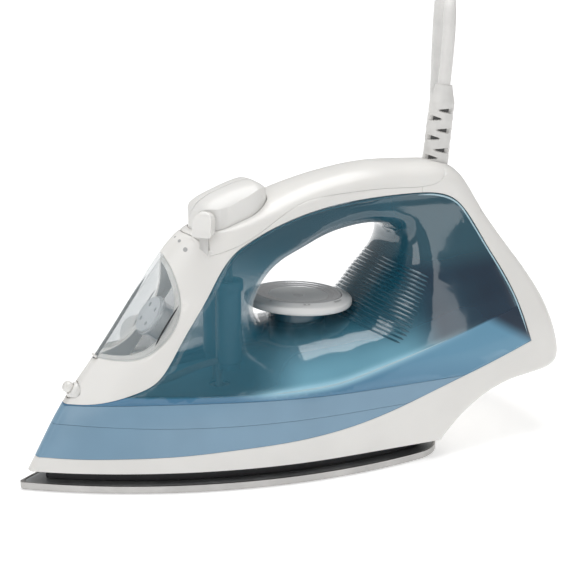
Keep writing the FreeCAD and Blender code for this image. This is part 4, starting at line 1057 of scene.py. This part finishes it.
@dataclass
class Tank:
    """The water tank with its crease, its two edge beads and the fine ribs behind the dial; the crease bead
    and the rear edge bead are light cyan, painted highlights.
    """

    rib_lowest: float = 67.0
    rib_pitch: float = 2.6
    rib_fall: float = 0.5
    rib_middle: float = 40.0
    rib_count: int = 17
    rib_radius: float = 0.6
    rib_stations: tuple[float, float] = (13.0, 21.6)
    rib_facing: float = 0.84
    edge_inset: float = 1.1
    crease_start: float = -44.0
    crease_full: tuple[float, float] = (-10.0, 20.0)
    crease_end: float = 112.0
    top_line: tuple = ((-50, 103), (-39.3, 117.0), (-26.6, 124.2), (-8.1, 130.8), (10, 135),
                       (42, 138.2), (63.8, 138.4))
    rear_line: tuple = ((63.8, 138.4), (78.3, 137.3), (89.5, 133.3), (97, 125.7), (106, 108.9),
                        (117, 85.8), (122, 72), (126.6, 56.5))

    def bead(self, name: str, skin: Skin, line: np.ndarray, radius: np.ndarray,
             rise: float, material: bpy.types.Material) -> None:
        """Lay a thin bead on both sides of the skin along a side-view line.

        Args:
            name: the piece's name.
            skin: the outer skin.
            line: rows of (x, z), in millimetres.
            radius: the bead's radius at each row, in millimetres.
            rise: how far its middle stands off the skin, in millimetres.
            material: what it is made of.
        """
        points, normals = skin.over(line[:, 0], line[:, 1])
        patch = tube_patch((points + normals * rise) * MM, radius * MM, 8, normals, 0.8)
        add_piece(piece_of(name, Patch.joined([patch, far_side(patch)])), "housing", "blue_clear", material)

    def edge(self, name: str, skin: Skin, corners_of_line: Sequence[tuple[float, float]],
             radius: float, material: bpy.types.Material) -> None:
        """Lay a bead just inside the tank's edge, thinned to a tenth at both ends.

        Args:
            name: the piece's name.
            skin: the outer skin.
            corners_of_line: (x, z) of the points it passes through, in millimetres.
            radius: its radius away from the ends, in millimetres.
            material: what it is made of.
        """
        line = curve_through(corners_of_line, 110)
        way = np.gradient(line, axis=0)
        inward = np.stack([way[:, 1], -way[:, 0]], -1) / np.linalg.norm(way, axis=1)[:, None]
        ends = end_taper(len(line), -1.0, 16.0)
        self.bead(name, skin, line + inward * self.edge_inset, radius * (0.1 + 0.9 * ends), -0.1, material)

    def rib(self, skin: Skin, level: float, shares: np.ndarray) -> Optional[Patch]:
        """Return one rib: the skin's line on a plane that falls to the rear.

        The plane's value at a point is its height plus a share of its distance behind the
        column's middle. The station at each share is found by halving, until the value is
        the rib's level. Points off the plane, or where the skin faces sideways, are left out.

        Args:
            skin: the outer skin.
            level: the plane's value along the rib.
            shares: how far out from the hand opening each point is, from 0 to 1.

        Returns:
            The rib, or nothing where the plane misses the column.
        """
        def value(spot: np.ndarray) -> np.ndarray:
            """Return the falling plane's value at points."""
            return spot[:, 2] + self.rib_fall * (spot[:, 0] - self.rib_middle)

        low, high = (np.full(len(shares), station) for station in self.rib_stations)
        for _ in range(30):
            middle = 0.5 * (low + high)
            above = value(skin.point(middle, shares)) > level
            low, high = np.where(above, middle, low), np.where(above, high, middle)
        spot, normal = skin.point(low, shares), skin.normal(low, shares)
        good = (np.abs(value(spot) - level) < 0.05) & (np.abs(normal[:, 1]) < self.rib_facing)
        if good.sum() < 8:
            return None
        index = np.flatnonzero(good)
        run = slice(index[0], index[-1] + 1)
        path, lift = spot[run], normal[run]
        ends = end_taper(len(path), -0.5, 6.0)
        return tube_patch((path - lift * 0.12) * MM, self.rib_radius * MM * (0.12 + 0.88 * ends), 6, lift)

    def build(self, skin: Skin, finish: Finishes) -> None:
        """Dress the tank and add its beads, crease and ribs, with painted highlights on the crease and rear
        edge beads.

        Args:
            skin: the outer skin.
            finish: the materials.
        """
        wear(moulded_copy("water_tank", "water_tank_shell", 60.0), finish["tinted_tank"])
        x = np.linspace(self.crease_start, self.crease_end, 120)
        full_from, full_to = self.crease_full
        ends = smooth_rise(x, self.crease_start, full_from) * (1 - smooth_rise(x, full_to, self.crease_end))
        # The crease bead is light cyan: a painted highlight along the crease
        self.bead("tank_crease", skin, np.stack([x, crease_height(x)], -1), 0.12 + 0.5 * ends,
                  -0.25, finish["tank_edge_painted_highlight"])
        # The rear edge bead is light cyan too: a painted highlight along the tank's rear edge
        self.edge("tank_edge_bead", skin, self.rear_line, 0.5, finish["tank_edge_painted_highlight"])
        self.edge("tank_top_edge", skin, self.top_line, 0.4, finish["rib_teal"])
        shares = np.linspace(0.002, 0.6, 130) ** 1.3
        ribs = [self.rib(skin, self.rib_lowest + self.rib_pitch * i, shares) for i in range(self.rib_count)]
        near = [rib for rib in ribs if rib is not None]
        patch = Patch.joined(near + [far_side(rib) for rib in near])
        add_piece(piece_of("tank_ribs", patch), "housing", "blue_clear", finish["rib_teal"])


@dataclass
class Window:
    """The thin groove beside the clear filler door, drawn in painted shade, and a dark line of painted
    refraction along the door's prow.
    """

    groove: tuple = ((-81.9, 72.0), (-76.5, 80.5), (-68.3, 92.0))
    prow: tuple = ((-119.5, 51.0), (-110.0, 63.5), (-100.0, 77.0), (-90.5, 90.5), (-80.0, 105.0))
    groove_radius: float = 0.42
    prow_radius: float = 0.75
    prow_inset: tuple[float, float] = (0.405, -0.29)

    def build(self, skin: Skin, finish: Finishes) -> None:
        """Lay the groove, a dark bead of painted shade that stays on the body, and the painted refraction
        line along the prow, which swings with the door.

        Args:
            skin: the outer skin.
            finish: the materials.
        """
        # The groove is a thin dark bead standing just proud of the skin: painted shade where the groove
        # would be
        line = curve_through(self.groove, 30)
        points, normals = skin.over(line[:, 0], line[:, 1])
        width = self.groove_radius * end_taper(len(line), -1.0, 5.0)
        groove = tube_patch((points + normals * 0.08) * MM, width * MM, 8, normals, 0.6)
        add_piece(piece_of("door_groove", Patch.joined([groove, far_side(groove)])), "housing",
                  slot_of("front_frame"), finish["shadow_gap"])
        # A dark tube inside the clear door's prow: painted refraction
        edge = curve_through(self.prow, 40) + self.prow_inset
        place = np.insert(edge, 1, 0.0, axis=1)
        rim = tube_patch(place * MM, self.prow_radius * end_taper(len(edge), -1.0, 6.0) * MM, 10)
        add_piece(piece_of("door_prow_painted_refraction", rim), "filler_door_body", slot_of("filler_door"),
                  finish["prow_painted_refraction"])


@dataclass
class Sleeve:
    """The lead's soft sleeve: a tapering tube with two families of wedge slots each side.

    Its radius at a height and an angle is the outline's radius less a shallow wave, which
    makes the waists between the slots' heights, and less the slots' depth.
    """

    foot: tuple[float, float, float] = (88.1, 0.0, 146.0)
    lean: tuple[float, float, float] = (0.1066, 0.0, 0.9943)
    outline: tuple = ((1.0, 6.6), (5.4, 7.2), (20.0, 7.1), (36.0, 6.9), (41.0, 5.7), (46.0, 4.6))
    facing: float = -114.75
    slot_depth: float = 2.1
    slot_half: float = 1.45
    families: tuple = (((6.7, 17.4, 28.0), -58.0, 4.0), ((11.1, 21.9, 32.6), 55.0, -18.0))
    waist_depth: float = 0.22
    waist_pitch: float = 5.35
    shade_from: float = 0.8
    rows: int = 210
    columns: int = 150

    def depth(self, height: np.ndarray, angle: np.ndarray) -> np.ndarray:
        """Return how deep the slots are, from 0 to 1, at heights and angles in degrees.

        Args:
            height: heights along the sleeve, in millimetres.
            angle: angles round it, in degrees.

        Returns:
            The depth as a share of the deepest.
        """
        cut = np.zeros_like(height)
        for places, blunt, tip in self.families:
            for turn in (0.0, 180.0):
                local = (angle - self.facing - turn - blunt + 180.0) % 360.0 - 180.0
                share = local / (tip - blunt)
                inside = smooth_rise(share, -0.03, 0.03) * (1.0 - smooth_rise(share, 0.93, 1.0))
                half = self.slot_half * np.clip(1.0 - share, 0.0, 1.0) ** 0.5
                for place in places:
                    gap = half - np.abs(height - place)
                    cut = np.maximum(cut, inside * smooth_rise(gap, -0.15, 0.35))
        return cut

    def build(self, finish: Finishes) -> None:
        """Make the sleeve, with its slots' floors in shade.

        Args:
            finish: the materials.
        """
        height, angle = np.meshgrid(np.linspace(self.outline[0][0], self.outline[-1][0], self.rows),
                                    np.linspace(0.0, 360.0, self.columns, endpoint=False), indexing="ij")
        places, sizes = zip(*self.outline)
        radius = Skin.smooth_table(places, sizes, height)
        body = smooth_rise(height, 3.0, 6.0) * (1.0 - smooth_rise(height, 33.0, 37.0))
        wave = 2.0 * np.pi * (height - self.families[0][0][0]) / self.waist_pitch
        radius = radius - self.waist_depth * body * (1.0 - np.cos(wave)) / 2.0
        cut = self.depth(height, angle)
        radius = radius - self.slot_depth * cut
        axis = unit(np.array(self.lean))
        first, second = square_to(axis)
        turn = np.radians(angle)
        spoke = np.cos(turn)[..., None] * first + np.sin(turn)[..., None] * second
        points = (np.array(self.foot) + height[..., None] * axis + radius[..., None] * spoke) * MM
        piece = piece_of("lead_sleeve", Patch.of_grid(points, wrap_columns=True, cap_ends=True))
        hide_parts("strain_relief")
        add_piece(piece, "housing", slot_of("strain_relief"), finish["white_sleeve"])
        piece.data.materials.append(finish["sleeve_shade"])
        shade = np.zeros(len(piece.data.polygons), dtype=np.int32)
        middle = cut[:-1] + cut[1:]
        middle = (middle + np.roll(middle, -1, axis=1)) / 4.0
        shade[:middle.size] = middle.reshape(-1) > self.shade_from
        piece.data.polygons.foreach_set("material_index", shade)


@dataclass
class Dial:
    """The heat dial: a domed ring, a stepped spun insert and raised dots for the settings."""

    radius: float = 29.0
    thick: float = 6.4
    dots: tuple[tuple[float, int], ...] = ((-150.0, 1), (-105.0, 2), (-60.0, 3))
    dot_gap: float = 5.0
    dot_radius: float = 0.75

    def ring_profile(self) -> np.ndarray:
        """Return the ring's profile: a flat back, an upright rim and a domed face."""
        r, t = self.radius, self.thick
        return rounded_profile([
            (0, 0.1, 0), (r - 5.0, 0.0, 1.0), (r - 0.9, 0.5, 0.6), (r, 1.7, 0.6), (r, t - 2.3, 0.5),
            (r - 0.7, t - 1.6, 0.5), (r - 5.3, t - 0.05, 0.4), (r - 5.7, t - 1.0, 0.3), (0, t - 2.2, 0)])

    def insert_profile(self) -> np.ndarray:
        """Return the insert's profile: three steps down to a shallow dish."""
        r, t = self.radius, self.thick
        return rounded_profile([
            (0, t - 2.3, 0), (r - 5.85, t - 1.2, 0.3), (r - 5.9, t - 0.35, 0.25), (r - 7.6, t - 0.2, 0.3),
            (r - 8.0, t - 0.55, 0.3), (r - 10.2, t - 0.65, 0.3), (r - 10.6, t - 1.0, 0.3),
            (r - 12.6, t - 1.1, 0.3), (r - 13.0, t - 1.4, 0.3), (r - 17, t - 1.75, 2.0), (0, t - 2.15, 0)])

    def marks(self, foot: np.ndarray, axis: np.ndarray) -> Patch:
        """Return the raised dots, in groups of one, two and three round the ring.

        Args:
            foot: the dial's place on its axis, in metres.
            axis: its unit axis.

        Returns:
            All the dots.
        """
        first, second = square_to(axis)
        profile = np.array([(0, 0.0), (self.dot_radius, 0.0), (self.dot_radius * 0.9, 0.12), (0, 0.2)])
        found = []
        for start, count in self.dots:
            for k in range(count):
                angle = math.radians(start + self.dot_gap * (k - (count - 1) / 2))
                spoke = math.cos(angle) * first + math.sin(angle) * second
                at = foot + spoke * (self.radius - 3.6) * MM + axis * (self.thick - 0.32) * MM
                found.append(turned_patch(profile, at, axis, 12))
        return Patch.joined(found)

    def build(self, finish: Finishes) -> None:
        """Turn the ring and the insert, and set the dots round the ring.

        Args:
            finish: the materials.
        """
        foot = np.array(FRAME["joint_at"]["dial_turn"])
        axis = np.array(FRAME["joint_axis"]["dial_turn"])
        ring = piece_of("dial_ring", turned_patch(self.ring_profile(), foot, axis), sharp_above=55)
        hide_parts("dial")
        add_piece(ring, "dial_body", "dial_white", finish["dial_ring_white"])
        insert = piece_of("dial_insert", turned_patch(self.insert_profile(), foot, axis), sharp_above=50)
        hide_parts("dial_inlay")
        add_piece(insert, "dial_body", "dial_grey", finish["spun_dial_insert"])
        add_piece(piece_of("dial_marks", self.marks(foot, axis)), "dial_body", "dial_grey",
                  finish["grey_print"])


@dataclass
class Lead:
    """The mains lead from the sleeve to the plug, with its tied coil."""

    diameter: float = 0.007
    real_length: float = 1.8
    run: tuple = (
        (93.0, 0.0, 191.7), (96.3, 0.0, 222.5), (106.2, 20.8, 245.5), (120.2, 50.1, 245.5),
        (130.1, 70.9, 222.5), (132.9, 77.0, 188.5), (134.6, 81.0, 134.0), (134.2, 84.0, 80.0),
        (133.5, 89.0, 30.0), (130.5, 113.0, 3.6))
    tail: tuple = ((48.0, 166.5, 13.5), (24.5, 160.6, 17.6), (2.0, 155.0, 18.7))
    coil_centre: tuple[float, float] = (76.0, 118.0)
    coil_radius: float = 41.0
    coil_start: float = 28.0
    turns: float = 5.178
    inward_turns: float = 2.6
    pitch: float = 7.1
    lowest: float = 3.6
    per_turn: int = 16

    def coil_points(self) -> list[tuple[float, float, float]]:
        """Wind the put-away length in two flat layers.

        The lower layer is a spiral that closes in by one diameter a turn, and the upper
        one opens out again by the same amount, a diameter higher.

        Returns:
            The coil's points, in millimetres.
        """
        turn = np.linspace(0.0, self.turns, int(round(self.turns * self.per_turn)) + 1)
        angle = math.radians(self.coil_start) + 2.0 * np.pi * turn
        inside = self.coil_radius - self.pitch * self.inward_turns / 2
        radius = inside + self.pitch * np.abs(turn - self.inward_turns)
        climb = smooth_rise(turn, self.inward_turns - 0.3, self.inward_turns + 0.3)
        height = self.lowest + self.pitch * climb
        return [(self.coil_centre[0] + r * math.cos(a), self.coil_centre[1] + r * math.sin(a), h)
                for r, a, h in zip(radius, angle, height)]

    def build(self, finish: Finishes) -> None:
        """Args:
            finish: the materials.
        """
        points = [*self.run, *self.coil_points(), *self.tail]
        curve = bpy.data.curves.new("mains_lead", "CURVE")
        curve.dimensions = "3D"
        curve.bevel_depth = self.diameter / 2
        curve.bevel_resolution = 6
        curve.use_fill_caps = True
        spline = curve.splines.new("NURBS")
        spline.points.add(len(points) - 1)
        spline.points.foreach_set("co", np.insert(np.array(points) * MM, 3, 1.0, axis=1).ravel())
        spline.order_u = 3
        spline.use_endpoint_u = True
        spline.resolution_u = 6
        lead = new_object("mains_lead", curve)
        wear(lead, finish["white_lead"])
        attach(lead, "housing")
        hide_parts("cord", "cord_tail", "cord_coil")
        LOG.info("mains lead laid")


@dataclass
class CarriedNodes:
    """Finishes of the CAD nodes that are shown as they are."""

    finish_of: tuple[tuple[str, tuple[str, ...]], ...] = (
        ("satin_sole", ("soleplate",)),
        ("cast_alloy", ("soleplate_casting", "steam_chamber_lid")),
        ("heater_steel", ("heating_element",)),
        ("black_phenolic", ("heat_shield", "terminal_block", "cord_bracket", "cord_clamp")),
        ("drawn_steel", ("sole_screws", "spray_spring", "boost_spring", "clamp_screws", "back_screw")),
        ("stamped_brass", ("thermostat",)),
        ("glass_braid", ("thermal_fuse",)),
        ("clear_window", ("filler_door",)),
        ("clear_port", ("filler_port",)),
        ("acetal", ("filler_strainer", "spray_piston", "boost_piston", "dial_shaft", "valve_rod")),
        ("inner_blue", ("tank_floor", "spray_pump", "boost_pump")),
        ("collar_tint", ("dial_collar",)),
        ("button_white", ("spray_button", "boost_button", "steam_lever", "nozzle_collar", "plug_body")),
        ("warm_white_shell", ("spray_nozzle", "filler_bezel", "door_hinge_pin")),
        ("grey_silicone", ("spray_hose", "boost_tube", "valve_seat", "wire_duct")),
        ("amber_lens", ("pilot_lamp",)),
        ("brown_wire", ("internal_leads",)),
        ("white_sleeve", ("cord_gland",)),
        ("white_lead", ("cord_tie",)),
        ("nickel_pin", ("plug_pins",)),
    )
    smooth: tuple[str, ...] = ("spray_button", "boost_button", "steam_lever", "filler_door",
                               "soleplate", "filler_port", "filler_bezel")

    def build(self, finish: Finishes) -> None:
        """Dress each node; those with large curved faces are shown as welded copies.

        Args:
            finish: the materials.
        """
        for material, nodes in self.finish_of:
            for node in nodes:
                if node in self.smooth:
                    wear(moulded_copy(node, node + "_form"), finish[material])
                else:
                    wear(FRAME["nodes"][node], finish[material])
        LOG.info("carried nodes dressed")


# ------------------------------------------------------------------ stage

@dataclass
class Studio:
    """Pale floor, soft lights and the camera."""

    azimuth: float = -24.75
    elevation: float = 15.65
    distance: float = 0.8434
    aim: tuple[float, float, float] = (-0.0015, 0.0, 0.0905)
    lens: float = 100.0
    fill_level: float = 0.34

    def floor(self) -> None:
        """Lay a wide pale floor with a faint mottle."""
        half = 6.0
        patch = Patch(np.array([(-half, -half, 0), (half, -half, 0), (half, half, 0), (-half, half, 0)]),
                      [[0, 1, 2, 3]])
        floor = piece_of("studio_floor", patch, smooth=False)
        floor.data.transform(Matrix.Translation((0, 0, -0.0004)))
        graph = Graph("pale_floor")
        speck = graph.noise(60.0, 2.0)
        x, y, _ = graph.axes()
        away = ((x * x + y * y) ** 0.5).step(260.0, 1300.0)
        glow = graph.mix(away, (0.44, 0.44, 0.44), (0.90, 0.90, 0.90))
        wear(floor, graph.surface(base_color=graph.mix(speck, (0.84, 0.84, 0.84), (0.86, 0.86, 0.86)),
                                  roughness=0.9, emission_color=glow, emission_strength=1.0))

    def lamp(self, name: str, place: Sequence[float], aim: Sequence[float], size: tuple[float, float],
             power: float) -> None:
        """Hang one rectangular soft light that faces a point.

        Args:
            name: the light's name.
            place: where it hangs, in metres.
            aim: the point that it faces.
            size: its width and height, in metres.
            power: its power, in watts.
        """
        data = bpy.data.lights.new(name, "AREA")
        data.shape = "RECTANGLE"
        data.size, data.size_y = size
        data.energy = power
        item = new_object(name, data)
        item.location = place
        item.rotation_euler = (Vector(aim) - Vector(place)).to_track_quat("-Z", "Y").to_euler()

    def camera(self) -> None:
        """Stand the camera off the aim point by its angles."""
        turn, tilt = math.radians(self.azimuth), math.radians(self.elevation)
        back = Vector((math.sin(turn) * math.cos(tilt), -math.cos(turn) * math.cos(tilt), math.sin(tilt)))
        data = bpy.data.cameras.new("studio_camera")
        data.lens = self.lens
        data.sensor_width = 36.0
        data.clip_start = 0.01
        item = new_object("studio_camera", data)
        item.location = Vector(self.aim) + back * self.distance
        item.rotation_euler = (-back).to_track_quat("-Z", "Y").to_euler()
        bpy.context.scene.camera = item

    def build(self) -> None:
        """Set up the floor, the lights, the world and the camera."""
        self.floor()
        self.lamp("top_softbox", (0.0, 0.1, 1.2), (0.0, 0.0, 0.05), (0.9, 0.9), 9.4)
        self.lamp("left_softbox", (-1.2, -0.7, 0.8), (0.0, 0.0, 0.06), (0.7, 0.9), 3.4)
        self.lamp("front_strip", (0.8, -1.2, 0.60), (0.05, 0.0, 0.06), (0.22, 0.9), 0.8)
        world = bpy.data.worlds.new("studio_world")
        world.use_nodes = True
        tree = world.node_tree
        fill = tree.nodes["Background"]
        path = tree.nodes.new("ShaderNodeLightPath")
        level = tree.nodes.new("ShaderNodeMix")
        level.inputs[2].default_value = self.fill_level
        level.inputs[3].default_value = 1.0
        tree.links.new(path.outputs["Is Camera Ray"], level.inputs[0])
        tree.links.new(level.outputs[0], fill.inputs["Strength"])
        fill.inputs["Color"].default_value = (1.0, 1.0, 1.0, 1.0)
        bpy.context.scene.world = world
        bpy.context.scene.view_settings.view_transform = "Standard"
        self.camera()


# ------------------------------------------------------------------ build

def read_frame() -> dict:
    """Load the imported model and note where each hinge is.

    Returns:
        The frame with joint_at and joint_axis added.
    """
    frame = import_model()
    hinges = {row["name"]: row for row in frame["record"]["behaviour"]["joints"]}
    frame["joint_at"] = {name: row["pos_m"] for name, row in hinges.items() if "pos_m" in row}
    frame["joint_axis"] = {name: row["axis"] for name, row in hinges.items()}
    return frame


def corners(box: Sequence[Sequence[float]]) -> list[list[float]]:
    """Return a box as plain lists of numbers."""
    return [[float(c) for c in corner] for corner in box]


def main() -> None:
    """Build every class in order."""
    logging.basicConfig(level=logging.INFO)
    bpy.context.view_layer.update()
    finish = Finishes()
    finish.make()
    Studio().build()
    Lead().build(finish)
    skin = Skin()
    Shells().build(skin, finish)
    Tank().build(skin, finish)
    Window().build(skin, finish)
    Sleeve().build(finish)
    Dial().build(finish)
    CarriedNodes().build(finish)


FRAME = read_frame()

if __name__ == "__main__":
    main()
